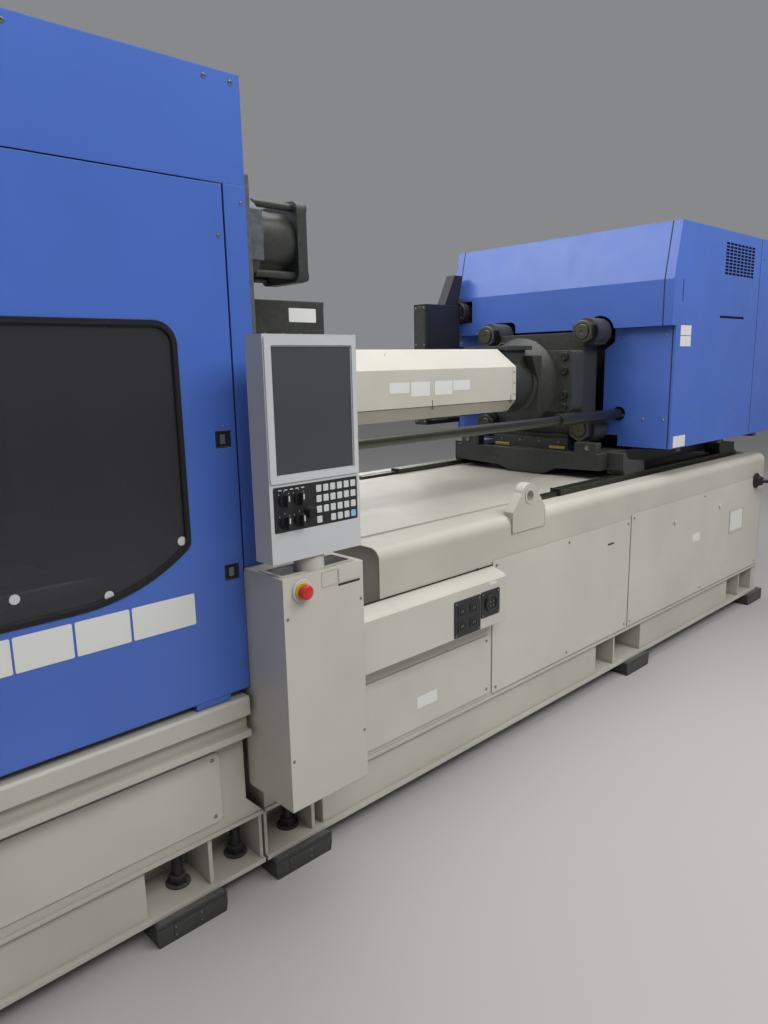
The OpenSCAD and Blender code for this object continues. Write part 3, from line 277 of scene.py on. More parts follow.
# %% Group: paint skin
group, given, end = open_group("paint_skin", {"Ripple scale": 420.0}, ("Tone", "Smudge", "Height"))
place = put(group, "ShaderNodeTexCoord").outputs["Object"]
close_group(group, end, Tone=noise(group, place, 1.7, 3.0, 0.55),
            Smudge=noise(group, place, 9.0, 7.0, 0.68, 0.4),
            Height=noise(group, place, given["Ripple scale"], 2.0))

# %% [markdown]
# ## Effect: the skin of a sand casting
#
# The feed housing and the platens are poured in sand moulds. Under their paint, the surface keeps
# the grain of the sand and some larger waves. A fine noise and a coarse one are added.

# %% Group: cast skin
group, given, end = open_group("cast_skin", {"Grain scale": 240.0}, ("Height", "Speckle"))
place = put(group, "ShaderNodeTexCoord").outputs["Object"]
grain = noise(group, place, given["Grain scale"], 6.0, 0.7)
waves = math_node(group, "MULTIPLY", noise(group, place, 18.0, 2.0), 1.6)
close_group(group, end, Height=math_node(group, "ADD", grain, waves),
            Speckle=noise(group, place, 60.0, 5.0, 0.65))

# %% [markdown]
# ## Effect: tool marks on bare steel
#
# Ground and turned steel carries fine lines along the way the tool went. A noise that is squeezed
# in one direction makes such lines. The group takes the stretch as a vector, so a rod can have
# rings round it and a rail can have lines along it.

# %% Group: tool marks
group, given, end = open_group(
    "tool_marks", {"Stretch": (1.0, 60.0, 60.0), "Scale": 20.0}, ("Lines", "Stain"))
place = put(group, "ShaderNodeTexCoord").outputs["Object"]
squeezed = put(group, "ShaderNodeVectorMath", {0: place, 1: given["Stretch"]}, operation="MULTIPLY")
close_group(group, end, Lines=noise(group, squeezed.outputs["Vector"], given["Scale"], 3.0, 0.6),
            Stain=noise(group, place, 14.0, 6.0, 0.7, 0.6))


# %% [markdown]
# ## Finishes
#
# A finish is one material. Each family of finishes has a function: it starts a Principled shader,
# places the groups with its own values, lays one colour over the other, and joins the result to
# the shader.

# %% Helpers for finishes
finishes = {}


def start(name, metallic=0.0, coat=0.0, **values):
    finishes[name], shader = new_material(name, Metallic=metallic, Coat_Weight=coat, Coat_Roughness=0.1,
                                          **values)
    return finishes[name].node_tree, shader


def place_group(tree, name, **values):
    node = put(tree, "ShaderNodeGroup", node_tree=bpy.data.node_groups[name])
    for key, value in values.items():
        node.inputs[key.replace("_", " ")].default_value = value
    return node.outputs


def tint(color, times, plus=0.0):
    return tuple(min(1, v * times + plus) for v in color)


def lay(tree, under, *layers):
    for factor, over in layers:
        under = put(tree, "ShaderNodeMix", {0: factor, 6: under, 7: over}, data_type="RGBA",
                    clamp_factor=True).outputs[2]
    return under


def wear_off(tree, edges, amount):
    return math_node(tree, "MULTIPLY", edges["Edge"], amount)


def dull(tree, gloss, film, amount):
    return math_node(tree, "ADD", gloss, math_node(tree, "MULTIPLY", film, amount), True)


def join(tree, shader, color, roughness, height, strength, distance, edges):
    bump = put(tree, "ShaderNodeBump", {"Height": height, "Normal": edges["Normal"],
               "Strength": strength, "Distance": distance})
    tree.links.new(color, shader.inputs["Base Color"])
    tree.links.new(roughness, shader.inputs["Roughness"])
    tree.links.new(bump.outputs["Normal"], shader.inputs["Normal"])


# %% [markdown]
# ## Painted sheet and painted castings
#
# Most of the machine is painted: blue covers, a warm light grey base, a paler grey on the panels
# and the pedestal, white on the barrel cover. The paint is a satin coat over a flat colour. Tone,
# dust, and corner grime with painted corner shade change the colour, smudges change the roughness,
# and the ripple goes through a Bump node. Worn edges show a lighter line.

# %% Finish family: paint
def sprayed_paint(name, color, roughness, dust, wear=0.25, coat=0.0):
    tree, shader = start(name, coat=coat)
    edges = place_group(tree, "soft_edges", Radius=0.003)
    skin = place_group(tree, "paint_skin", Ripple_scale=420.0)
    film = place_group(tree, "dust", Amount=dust, Scale=5.0)["Mask"]
    # corners: painted shade and grime in corners, mixed in below as a darker tint.
    corners = place_group(tree, "corner_shade_and_grime", Reach=0.03, Amount=0.5)["Mask"]
    shade = lay(tree, tint(color, 0.90), (spread(tree, skin["Tone"], 0.3, 0.7), tint(color, 1.07)),
                (wear_off(tree, edges, wear), tint(color, 1.25, 0.05)), (corners, tint(color, 0.32)),
                (film, (0.42, 0.40, 0.36)))
    gloss = spread(tree, skin["Smudge"], 0.25, 0.75, roughness - 0.05, roughness + 0.09)
    join(tree, shader, shade, dull(tree, gloss, film, 0.4), skin["Height"], 0.06, 0.0006, edges)


def cast_paint(name, color, roughness):
    tree, shader = start(name)
    edges = place_group(tree, "soft_edges", Radius=0.005)
    skin = place_group(tree, "cast_skin", Grain_scale=240.0)
    film = place_group(tree, "dust", Amount=0.3, Scale=9.0)["Mask"]
    # corners: painted shade and grime in corners, mixed in below as a darker tint.
    corners = place_group(tree, "corner_shade_and_grime", Reach=0.05, Amount=0.55)["Mask"]
    shade = lay(tree, color, (spread(tree, skin["Speckle"], 0.35, 0.75), tint(color, 1.5, 0.004)),
                (wear_off(tree, edges, 0.35), (0.16, 0.16, 0.15)), (corners, tint(color, 0.35)),
                (film, (0.30, 0.28, 0.25)))
    gloss = spread(tree, skin["Speckle"], 0.3, 0.7, roughness - 0.08, roughness + 0.1)
    join(tree, shader, shade, gloss, skin["Height"], 0.35, 0.0008, edges)


sprayed_paint("blue_cover", (0.062, 0.142, 0.500), 0.36, dust=0.14, wear=0.2, coat=0.12)
sprayed_paint("warm_grey_paint", (0.490, 0.463, 0.402), 0.42, dust=0.35)
sprayed_paint("pale_grey_paint", (0.540, 0.512, 0.450), 0.40, dust=0.22)
sprayed_paint("white_paint", (0.530, 0.505, 0.440), 0.36, dust=0.25)
sprayed_paint("black_steel", (0.018, 0.018, 0.020), 0.38, dust=0.30, wear=0.4)
cast_paint("dark_casting", (0.034, 0.036, 0.032), 0.42)
cast_paint("platen_paint", (0.075, 0.085, 0.095), 0.48)
print("painted finishes:", sorted(finishes))


# %% [markdown]
# ## Bare metal
#
# Rails, rods, nuts and tie bars are bare. Metal takes its colour from its reflection, so the base
# colour stays plain and the detail is in the roughness: tool marks that run one way, stains from
# oil and fingers, and bright edges. Hard chrome is the same with much finer lines.

# %% Finish family: bare metal
def bare_metal(name, color, roughness, stretch, lines=0.35, stain=0.25, edge_radius=0.0015):
    tree, shader = start(name, metallic=1.0)
    edges = place_group(tree, "soft_edges", Radius=edge_radius)
    marks = place_group(tree, "tool_marks", Stretch=stretch, Scale=20.0)
    # corners: painted shade and grime in corners, mixed in below as a darker tint of the metal.
    corners = place_group(tree, "corner_shade_and_grime", Reach=0.02, Amount=0.5)["Mask"]
    spots = spread(tree, marks["Stain"], 0.45, 0.75, 0.0, stain)
    shade = lay(tree, color, (spots, tint(color, 0.62)), (corners, tint(color, 0.25)))
    gloss = spread(tree, marks["Lines"], 0.3, 0.7, roughness - 0.09, roughness + 0.11)
    join(tree, shader, shade, dull(tree, gloss, spots, 0.3), marks["Lines"], lines, 0.0002, edges)


bare_metal("machined_steel", (0.46, 0.46, 0.45), 0.36, (8.0, 60.0, 60.0))
bare_metal("chromed_bar", (0.62, 0.63, 0.64), 0.16, (90.0, 3.0, 3.0), lines=0.08, stain=0.1)
bare_metal("dark_bar", (0.135, 0.135, 0.110), 0.38, (8.0, 60.0, 60.0), lines=0.25)
bare_metal("zinc_screw", (0.42, 0.42, 0.40), 0.34, (40.0, 40.0, 40.0), edge_radius=0.0006)
bare_metal("brass", (0.60, 0.42, 0.16), 0.30, (8.0, 60.0, 60.0))
print("finishes after the metals:", len(finishes))


# %% [markdown]
# ## Plastic, glass and film
#
# The operator panel's case and keys are moulded plastic with a fine leather-like grain. The
# screen is dark glass under a gloss coat, and the gate's window is a thick clear sheet: it passes
# light, but its finish is nearly black and only partly clear, a painted shade for the dark mould space
# behind it.

# %% Finish family: plastic
def moulded_plastic(name, color, roughness, grain=0.12, coat=0.0, dust=0.15):
    tree, shader = start(name, coat=coat)
    edges = place_group(tree, "soft_edges", Radius=0.001)
    skin = place_group(tree, "paint_skin", Ripple_scale=1500.0)
    film = place_group(tree, "dust", Amount=dust, Scale=12.0)["Mask"]
    # corners: painted shade and grime in corners, mixed in below as a darker tint.
    corners = place_group(tree, "corner_shade_and_grime", Reach=0.012, Amount=0.5)["Mask"]
    shade = lay(tree, color, (spread(tree, skin["Tone"], 0.3, 0.7), tint(color, 1.12, 0.003)),
                (corners, tint(color, 0.4)), (film, (0.40, 0.39, 0.36)))
    gloss = spread(tree, skin["Smudge"], 0.25, 0.75, roughness - 0.06, roughness + 0.1)
    join(tree, shader, shade, gloss, skin["Height"], grain, 0.0003, edges)


moulded_plastic("panel_plastic", (0.490, 0.495, 0.500), 0.45)
moulded_plastic("black_plastic", (0.016, 0.016, 0.018), 0.42)
moulded_plastic("red_plastic", (0.520, 0.018, 0.012), 0.28, coat=0.4)
moulded_plastic("yellow_plastic", (0.620, 0.380, 0.015), 0.32, coat=0.3)
moulded_plastic("key_plastic", (0.520, 0.530, 0.520), 0.42)
moulded_plastic("blue_key", (0.240, 0.400, 0.620), 0.42)
moulded_plastic("rubber", (0.010, 0.010, 0.011), 0.62, grain=0.25)
moulded_plastic("label_film", (0.66, 0.66, 0.63), 0.30, grain=0.02, coat=0.3)
moulded_plastic("screen_glass", (0.050, 0.052, 0.058), 0.16, grain=0.0, coat=0.8, dust=0.05)

# %% Finish: clear window, with painted shade for the space behind it
# PANE: the pane's near-black colour and partial alpha are painted shade for the dark space behind the
# window.
PANE = (0.045, 0.045, 0.050)
tree, shader = start("window_pane", Alpha=0.62, Specular_IOR_Level=0.5)
skin = place_group(tree, "paint_skin", Ripple_scale=40.0)
edges = place_group(tree, "soft_edges", Radius=0.001)
gloss = spread(tree, skin["Smudge"], 0.3, 0.8, 0.10, 0.26)
join(tree, shader, lay(tree, PANE, (skin["Tone"], tint(PANE, 0.9))), gloss, skin["Height"], 0.03, 0.0004,
     edges)
print(len(finishes), "finishes in all")

# %% [markdown]
# ## Give every CAD node its finish
#
# The record says which material slot each node uses. A slot has the same name as its finish, so
# one loop paints the whole machine. The solids' own vertices stay as they are.

# %% Paint the CAD nodes
for part in frame["record"]["subparts"]:
    node = frame["nodes"][part["node"]]
    node.data.materials.clear()
    node.data.materials.append(finishes[part["material_slot"]])

# %% [markdown]
# ## Tools for making pieces
#
# A piece is built in a bmesh, Blender's editable mesh, from three simple moves: push an outline
# straight through (a prism), spin a profile round an axis (a turned part), or sweep a circle along
# a line (a tube). The tools below think in machine millimetres; only the last step turns them into
# frame metres. A small chamfer catches the light, and the Weighted Normal modifier keeps the large
# faces flat in the shading.

# %% Tools: spans and outlines
def around(middle, half):
    return middle - half, middle + half


def inset(span, by):
    return span[0] + by, span[1] - by


def on_side(side, near, far):
    return sorted((side * near, side * far))


def arc(u, v, radius, first, last, steps, skip=0):
    turns = (math.radians(first + (last - first) * k / steps) for k in range(skip, steps + 1))
    return [(u + radius * math.cos(a), v + radius * math.sin(a)) for a in turns]


def circle(u, v, radius, steps=24, first=0):
    return arc(u, v, radius, first, first + 360, steps)[:-1]


def rectangle(u, v, corner=0.0):
    if corner <= 0:
        return [(u[0], v[0]), (u[1], v[0]), (u[1], v[1]), (u[0], v[1])]
    left, right = inset(u, corner)
    low, high = inset(v, corner)
    return (arc(right, low, corner, -90, 0, 5) + arc(right, high, corner, 0, 90, 5)
            + arc(left, high, corner, 90, 180, 5) + arc(left, low, corner, 180, 270, 5))


# %% Tools: loops of points, and the skin between them
def loop(mesh, axis, outline, w):
    place = {"x": lambda u, v: (w, u, v), "y": lambda u, v: (u, w, v), "z": lambda u, v: (u, v, w)}[axis]
    return [mesh.verts.new(place(u, v)) for u, v in outline]


def bridge(mesh, loops):
    return [mesh.faces.new((a[i - 1], a[i], b[i], b[i - 1]))
            for a, b in zip(loops, loops[1:]) for i in range(len(a))]


def cap(mesh, loops):
    return [mesh.faces.new(loops[0][::-1]), mesh.faces.new(loops[-1])]


def close_skin(mesh, faces, finish):
    for face in faces:
        face.material_index = finish
    bmesh.ops.recalc_face_normals(mesh, faces=faces)


# %% Tools: prism, block, pad, ring
def prism(mesh, axis, outline, low, high, finish=0, chamfer=0.0):
    loops = [loop(mesh, axis, outline, w) for w in (low, high)]
    faces = cap(mesh, loops) + bridge(mesh, loops)
    close_skin(mesh, faces, finish)
    if chamfer:
        edges = list({edge for face in faces for edge in face.edges})
        bmesh.ops.bevel(mesh, geom=edges, offset=chamfer, segments=1, affect="EDGES",
                        clamp_overlap=True, material=finish)


def block(mesh, x, y, z, finish=0, chamfer=0.0):
    prism(mesh, "z", rectangle(x, y), z[0], z[1], finish, chamfer)


def pad(mesh, side, wall, x, z, low, high, finish=0, corner=0.0, chamfer=0.0):
    prism(mesh, "y", rectangle(x, z, corner), side * (wall + low), side * (wall + high), finish, chamfer)


def ring(mesh, axis, outer, inner, low, high, finish=0):
    places = ((outer, low), (outer, high), (inner, high), (inner, low))
    loops = [loop(mesh, axis, outline, w) for outline, w in places]
    close_skin(mesh, bridge(mesh, loops + loops[:1]), finish)


def washer(mesh, axis, u, v, outer, inner, low, high, finish=0, steps=40):
    ring(mesh, axis, circle(u, v, outer, steps), circle(u, v, inner, steps), low, high, finish)


# %% Tools: turned part, tube
# A profile is a list of (radius, height), with the height counted outwards from a face.
def turned(mesh, axis, u, v, face, out, profile, finish=0, steps=24, closed=False):
    loops = [loop(mesh, axis, circle(u, v, max(radius, 0.01), steps), face + out * height)
             for radius, height in profile]
    ends = [] if closed else cap(mesh, loops)
    close_skin(mesh, ends + bridge(mesh, loops + loops[:1] if closed else loops), finish)


def tube(mesh, points, radius, finish=0, steps=12):
    points = [Vector(p) for p in points]
    side = (points[1] - points[0]).orthogonal().normalized()
    loops = []
    for i, point in enumerate(points):
        way = (points[min(i + 1, len(points) - 1)] - points[max(i - 1, 0)]).normalized()
        side = (side - way * side.dot(way)).normalized()
        up = way.cross(side)
        loops.append([mesh.verts.new(point + c * side + s * up) for c, s in circle(0, 0, radius, steps)])
    close_skin(mesh, cap(mesh, loops) + bridge(mesh, loops), finish)


# %% Tools: screws and bolts
PAN_HEAD = ((1.0, 0.0), (0.96, 0.22), (0.72, 0.46), (0.36, 0.52), (0.30, 0.30), (0.0, 0.26))
HEX_WASHER = ((1.25, 0.0), (1.25, 0.16), (1.05, 0.18), (1.05, 0.2))
HEX_HEAD = ((1.0, 0.2), (1.0, 0.78), (0.90, 0.86), (0.0, 0.86))


def scaled(profile, radius):
    return [(radius * r, radius * h) for r, h in profile]


def screws(mesh, axis, places, face, out, radius, finish=0):
    for u, v in places:
        turned(mesh, axis, u, v, face, out, scaled(PAN_HEAD, radius), finish, 16)


def hex_bolt(mesh, axis, u, v, face, out, radius, finish=0):
    turned(mesh, axis, u, v, face, out, scaled(HEX_WASHER, radius), finish, 20)
    turned(mesh, axis, u, v, face, out, scaled(HEX_HEAD, radius), finish, 6)


def socket_head(mesh, axis, u, v, face, out, radius, height, finish=0, socket_shade=1):
    top = face + out * height
    crown = [(1, -0.08), (0.93, 0), (0.66, 0), (0.60, -0.08), (0.52, -0.1)]
    profile = [(radius, -1 - height)] + scaled(crown, radius)
    turned(mesh, axis, u, v, top, out, profile, finish, 28)
    # The dark hexagon, sunk a little into the head, is painted shade for the depth of the socket.
    prism(mesh, axis, circle(u, v, radius * 0.54, 6), top - out * radius * 0.2, top - out * radius * 0.04,
          socket_shade)


# %% Tools: finish a piece
def make_piece(name, mesh, body, looks):
    for vert in mesh.verts:
        vert.co = at(*vert.co)
    data = bpy.data.meshes.new(name)
    mesh.to_mesh(data)
    mesh.free()
    for look in looks:
        data.materials.append(finishes[look])
    data.shade_smooth()
    data.set_sharp_from_angle(angle=math.radians(32))
    piece = bpy.data.objects.new(name, data)
    bpy.context.scene.collection.objects.link(piece)
    shading = piece.modifiers.new("flat faces stay flat", "WEIGHTED_NORMAL")
    shading.keep_sharp = True
    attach(piece, body)
    print(name, "rides on", body, "with", len(data.polygons), "faces")
    return piece


# %% [markdown]
# ## The gate's window: seal and stops
#
# A black rubber profile is pushed over the edge of the window opening; it hides the raw edge of
# the sheet and holds the pane. The opening has square shoulders and, at the foot, a long sweep
# that ends in a tight corner. The same outline, grown and shrunk a little, gives both lips of the
# seal. Small pale stops sit behind the pane, near the corners.

# %% The window's outline
WINDOW_X = (-1400.0, -130.0)
WINDOW_Z = (947.0, 1577.0)
SWEEP, SWEEP_R, CORNER_R, SHOULDER_R = 291.0, 465.6, 28.0, 50.0
WINDOW_STOPS = ((-148, 1062), (-338, 968), (-538, 1006), (-1382, 1062), (-1192, 968))


def window_outline(grow):
    rise = math.sqrt((SWEEP_R - CORNER_R) ** 2 - (SWEEP - CORNER_R) ** 2)
    meet = math.degrees(math.asin((SWEEP - CORNER_R) / (SWEEP_R - CORNER_R))) - 90
    foot = WINDOW_Z[0] + SWEEP_R
    half = (arc(WINDOW_X[1] - SWEEP, foot, SWEEP_R + grow, -90, meet, 12)
            + arc(WINDOW_X[1] - CORNER_R, foot - rise, CORNER_R + grow, meet, 0, 5, skip=1)
            + arc(WINDOW_X[1] - SHOULDER_R, WINDOW_Z[1] - SHOULDER_R, SHOULDER_R + grow, 0, 90, 8))
    return half + [(sum(WINDOW_X) - x, z) for x, z in reversed(half)]


# %% Seal and stops on both gates
for side, body, name in ((-1, "front_gate", "front"), (1, "back_gate", "rear")):
    mesh = bmesh.new()
    face = side * COVER_FACE
    ring(mesh, "y", window_outline(5), window_outline(-9), face + side * 2.5, face - side * 2)
    ring(mesh, "y", window_outline(-3), window_outline(-7), face + side * 3.5, face + side * 2)
    for x, z in WINDOW_STOPS:
        turned(mesh, "y", x, z, face, side, [(11, -2), (11, -3.5), (8, -5), (0, -5.2)], 1, 20)
    make_piece("window_seal_" + name, mesh, body, ("rubber", "key_plastic"))

# %% [markdown]
# ## Latch openings and bare plates on the gate
#
# Two square holes near the gate's closing edge let a key reach the lock behind. Each gets a black
# pocket with a screw above and below. Under the window sits a row of bare plates, thin sheets of
# plastic with rounded corners.

# %% Latch pockets and plates
GATE_Y = -COVER_FACE
mesh = bmesh.new()
for x, z in (((-38, 4), (1277, 1319)), ((-35, 5), (937, 978))):
    middle = sum(x) / 2
    block(mesh, inset(x, -4), (GATE_Y + 4, GATE_Y + 7), inset(z, -4), 0)
    ring(mesh, "y", rectangle(inset(x, 0.5), inset(z, 0.5)), rectangle(inset(x, 3), inset(z, 3)),
         GATE_Y + 0.6, GATE_Y + 4, 0)
    block(mesh, around(middle, 7), (GATE_Y + 1.5, GATE_Y + 4), inset(z, 9), 1, 1.0)
    screws(mesh, "y", [(middle, v) for v in inset(z, -10)], GATE_Y, -1, 3.2, 2)
make_piece("gate_latches", mesh, "front_gate",
           ("black_steel", "machined_steel", "zinc_screw"))

mesh = bmesh.new()
for x in ((-719, -559), (-554, -429), (-423, -296), (-290, -127)):
    pad(mesh, -1, COVER_FACE, x, (846, 926), -0.5, 0.9, 0, 4)
make_piece("gate_plates", mesh, "front_gate", ("label_film",))

# %% [markdown]
# ## The stop at the post
#
# The gate hangs in front of its post with a dark gap between them. At the foot of the gap, a bright
# bolt holds the stop that the gate closes against.

# %% Bolt and stop at the post
mesh = bmesh.new()
block(mesh, (24, 40), (GATE_Y - 2, GATE_Y + 16), (641, 654), 0, 1.5)
hex_bolt(mesh, "z", 31, GATE_Y + 6, 653, 1, 6.5, 1)
make_piece("gate_stop", mesh, "frame", ("black_steel", "zinc_screw"))

# %% [markdown]
# ## The operator panel
#
# A flat box of moulded plastic stands on the pedestal. Its screen sits in a dark frame. Below it a
# black field holds four black selector switches with pale pointer bars, a round knob, and four rows
# of pale keys, the last one bluish. Membrane keys are nearly flat: each is a thin pad with a
# raised middle, which a chamfer shows well enough.

# %% Frame of the screen
PANEL_Y = -PANEL_FACE
mesh = bmesh.new()
ring(mesh, "y", rectangle((19.5, 258.5), (1218.5, 1517.5), 3), rectangle((31, 247), (1230, 1506), 2),
     PANEL_Y + 1.2, PANEL_Y + 5.5, 0)
ring(mesh, "y", rectangle((-2, 276), (1198, 1543), 8), rectangle((16, 262), (1215, 1521), 4),
     PANEL_Y - 3.0, PANEL_Y + 1, 1)
make_piece("screen_frame", mesh, "operator_panel", ("black_plastic", "panel_plastic"))

# %% Key field, keys and knob
SWITCHES = ((36, 1157), (80, 1157), (36, 1103), (80, 1103))
mesh = bmesh.new()
pad(mesh, -1, PANEL_FACE, (6, 269), (1079, 1189), -0.9, 0.4, 0, 4)
for row, z in enumerate((1173, 1147, 1120, 1094)):
    for column in range(6):
        if (row, column) != (3, 1):
            x = around(142 + 22.5 * column, 8.2)
            look = 2 if (row, column) == (3, 5) else 1
            pad(mesh, -1, PANEL_FACE, x, around(z, 8.6), 0, 2.2, look, 2, 0.9)
turned(mesh, "y", 109, 1118, PANEL_Y, -1, [(15, 0), (15, 6), (13.5, 18), (12, 20), (0, 20.4)], 3, 28)
for x, z in SWITCHES:
    turned(mesh, "y", x, z, PANEL_Y, -1, [(17.5, 0.2), (17.5, 2), (15.8, 2.8), (15.4, 0.3)], 3, 28)
    for u, v in arc(x, z, 21, 135, 45, 2):
        prism(mesh, "y", circle(u, v, 1.3, 8), PANEL_Y - 0.9, PANEL_Y, 1)
for left in range(20, 105, 17):
    pad(mesh, -1, PANEL_FACE, (left, left + 10), (1180.5, 1183), 0, 0.8, 1)
make_piece("panel_keys", mesh, "operator_panel",
           ("black_plastic", "key_plastic", "blue_key", "rubber"))

# %% [markdown]
# ## Pointers of the selector switches
#
# Each switch turns by itself, so its pale pointer bar rides on the switch's own body and turns
# with it.

# %% Pointer bars
for number, (x, z) in enumerate(SWITCHES, 1):
    mesh = bmesh.new()
    front = -CENTRE[1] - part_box("selector_switch_%d" % number)[0].y * 1000
    pad(mesh, -1, front, around(x, 1.9), (z - 1, z + 12.5), -0.6, 0.7, 0, 1.2, 0.3)
    pad(mesh, -1, front, around(x, 4.6), (z - 12.5, z + 13.5), -0.7, 0.15, 1, 2.5, 0.3)
    make_piece("pointer_%d" % number, mesh, "selector_%d" % number,
               ("key_plastic", "black_plastic"))

# %% [markdown]
# ## The pedestal under the panel
#
# The pedestal is a folded box with a lid. The lid's top has a sunk tray with a frame round it; the
# tray's black floor is painted shade for the dark opening. Its front edge carries a shallow flap, and
# the black strip under it is a painted shadow line. Four screws hold the front sheet.

# %% Lid, flap and screws of the pedestal
mesh = bmesh.new()
ring(mesh, "z", rectangle((28, 272), (-852, -752), 6), rectangle((40, 260), (-840, -764), 4), 959.5, 962)
# Black floor of the tray: painted shade for the dark opening in the lid.
block(mesh, (39, 261), (-841, -763), (959.2, 960.4), 1)
ring(mesh, "y", rectangle((142, 197), (914, 955), 3), rectangle((143.4, 195.6), (915.4, 953.6), 3),
     PANEL_Y - 0.9, PANEL_Y + 0.5, 0)
pad(mesh, -1, PANEL_FACE, (198, 272), (916, 952), -0.5, 1.0, 0, 3, 0.7)
# Black strip under the flap: a painted shadow line.
block(mesh, (196, 271), (PANEL_Y - 0.4, PANEL_Y + 0.5), (907, 913), 1)
screws(mesh, "y", product((31, 274), (472, 856)), PANEL_Y, -1, 4.2, 2)
make_piece("pedestal_lid", mesh, "frame",
           ("pale_grey_paint", "black_plastic", "zinc_screw"))

# %% [markdown]
# ## Emergency stop
#
# The button is a red mushroom on a short neck. Under it sits a yellow ring on a grey base. The head
# has a crowned face and a soft rim, so a spun profile is the right way to make it; the plain CAD
# button stays hidden and keeps its collision. Head and neck move with the button, the ring doesn't.

# %% Mushroom head and its ring
STOP = (77.0, 921.0)
mesh = bmesh.new()
turned(mesh, "y", *STOP, PANEL_Y, -1, [(8, 0), (8, 9), (10, 12), (17.5, 14), (19.4, 17), (19.5, 21),
       (18.6, 25), (16, 28), (11, 29.6), (0, 30)], 0, 40)
head = make_piece("stop_button_head", mesh, "stop_button", ("red_plastic",))
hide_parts("emergency_stop_button")

mesh = bmesh.new()
turned(mesh, "y", *STOP, PANEL_Y, -1, [(30, -0.5), (30, 2.5), (28.5, 4), (20.5, 4), (20, 2), (9, 2),
       (9, -0.5)], 0, 40, True)
turned(mesh, "y", *STOP, PANEL_Y, -1, [(23, 3.5), (23, 6.5), (21.5, 8), (14, 8), (13.5, 4.5), (9.2, 4.5),
       (9.2, 3.5)], 1, 40, True)
make_piece("stop_button_ring", mesh, "frame", ("panel_plastic", "yellow_plastic"))

# %% [markdown]
# ## The service box on the bed's side
#
# A long box with a sloped lid holds the outlets. Two black outlet plates sit in its front, the first
# with four recessed outlets, the second with one plug socket. A dark line and a small plug show
# where the box meets the side wall.

# %% Outlets and plates of the service box
BOX_FACE = 728.0
BOX_Y = -BOX_FACE
mesh = bmesh.new()
block(mesh, (299, 1097), (-666, -663.4), (742, 746), 3)
turned(mesh, "y", 1010, 744, -664, -1, [(5, 0), (5, 3), (4, 4), (0, 4)], 3, 16)
for x, z in (((812, 950), (552, 681)), ((954, 1057), (588, 683))):
    pad(mesh, -1, BOX_FACE, x, z, -1, 3, 0, 5, 1.0)
    screws(mesh, "y", product(inset(x, 9), inset(z, 9)), BOX_Y - 3, -1, 3.2, 2)
for x, z in product((850, 912), (590, 642)):
    pad(mesh, -1, BOX_FACE, around(x, 21), around(z, 18), 2.6, 5.5, 0, 4, 1.2)
    washer(mesh, "y", x, z, 14, 11, BOX_Y - 6.6, BOX_Y - 5, 3, 24)
    for u in around(x, 4.5):
        block(mesh, around(u, 1), (BOX_Y - 6.3, BOX_Y - 5), around(z, 3.5), 4)
turned(mesh, "y", 1005, 636, BOX_Y, -1, [(32, 2.6), (32, 8), (29, 11), (26, 11), (24, 6), (0, 6)], 0, 36)
for u, v in circle(1005, 636, 12, 4, 45):
    turned(mesh, "y", u, v, BOX_Y, -1, [(2.6, 6), (2.6, 9.5), (0, 10)], 4, 12)
pad(mesh, -1, BOX_FACE, (1000, 1040), (700, 712), -0.4, 0.8, 1, 1)
make_piece("outlet_plates", mesh, "frame",
           ("black_plastic", "label_film", "zinc_screw", "rubber", "brass"))

# %% [markdown]
# ## Access panels and the bed's side
#
# The access panels are thin sheets, held by small screws along their edges. The bed's wall carries
# two round plugs, bare plates, a slot drawn as a black pad of painted shade and, at the drive end, a
# plate in a raised frame. The rear side has the same.

# %% Panel screws, plugs and plates, both sides
PANELS = (((-3060, -1640), (262, 466)), ((-1600, -72), (262, 466)), ((300, 1084), (250, 480)),
          ((1096, 2098), (240, 758)), ((2108, 3640), (240, 775)))
for side, name in ((-1, "front"), (1, "rear")):
    face = side * SIDE_FACE
    mesh = bmesh.new()
    for x, z in PANELS:
        left, right = inset(x, 22)
        gaps = 1 + int((x[1] - x[0]) / 900)
        along = [left + (right - left) * k / gaps for k in range(gaps + 1)]
        screws(mesh, "y", product(along, inset(z, 20)), face, side, 5.5, 0)
    for x, z in ((2542, 672), (3072, 675)):
        turned(mesh, "y", x, z, face, side, [(13, -1), (13, 4), (11, 6), (0, 6.4)], 1, 28)
    for x, z in (((2752, 2838), (528, 572)), ((690, 790), (318, 362))):
        pad(mesh, side, SIDE_FACE, x, z, -0.5, 0.9, 2, 3)
    # The slot is a black pad: painted shade for the opening.
    pad(mesh, side, SIDE_FACE, (1905, 1955), (668, 675), -0.5, 1.2, 3, 3)
    ring(mesh, "y", rectangle((3212, 3403), (497, 632), 8), rectangle((3222, 3393), (507, 622), 5),
         face - side * 0.5, face + side * 3, 1)
    pad(mesh, side, SIDE_FACE, (3222, 3393), (507, 622), -0.5, 0.8, 2, 5)
    make_piece("side_fittings_" + name, mesh, "frame",
               ("zinc_screw", "pale_grey_paint", "label_film", "black_plastic"))

# %% [markdown]
# ## Wedge mounts and jack bolts
#
# The machine stands on cast wedge mounts. Each has a split line between its upper and lower wedge
# and a bare sheet riveted to its front. In the open pockets of the beam, washers lie under the nuts
# of the jack bolts, and a short thread shows above them.

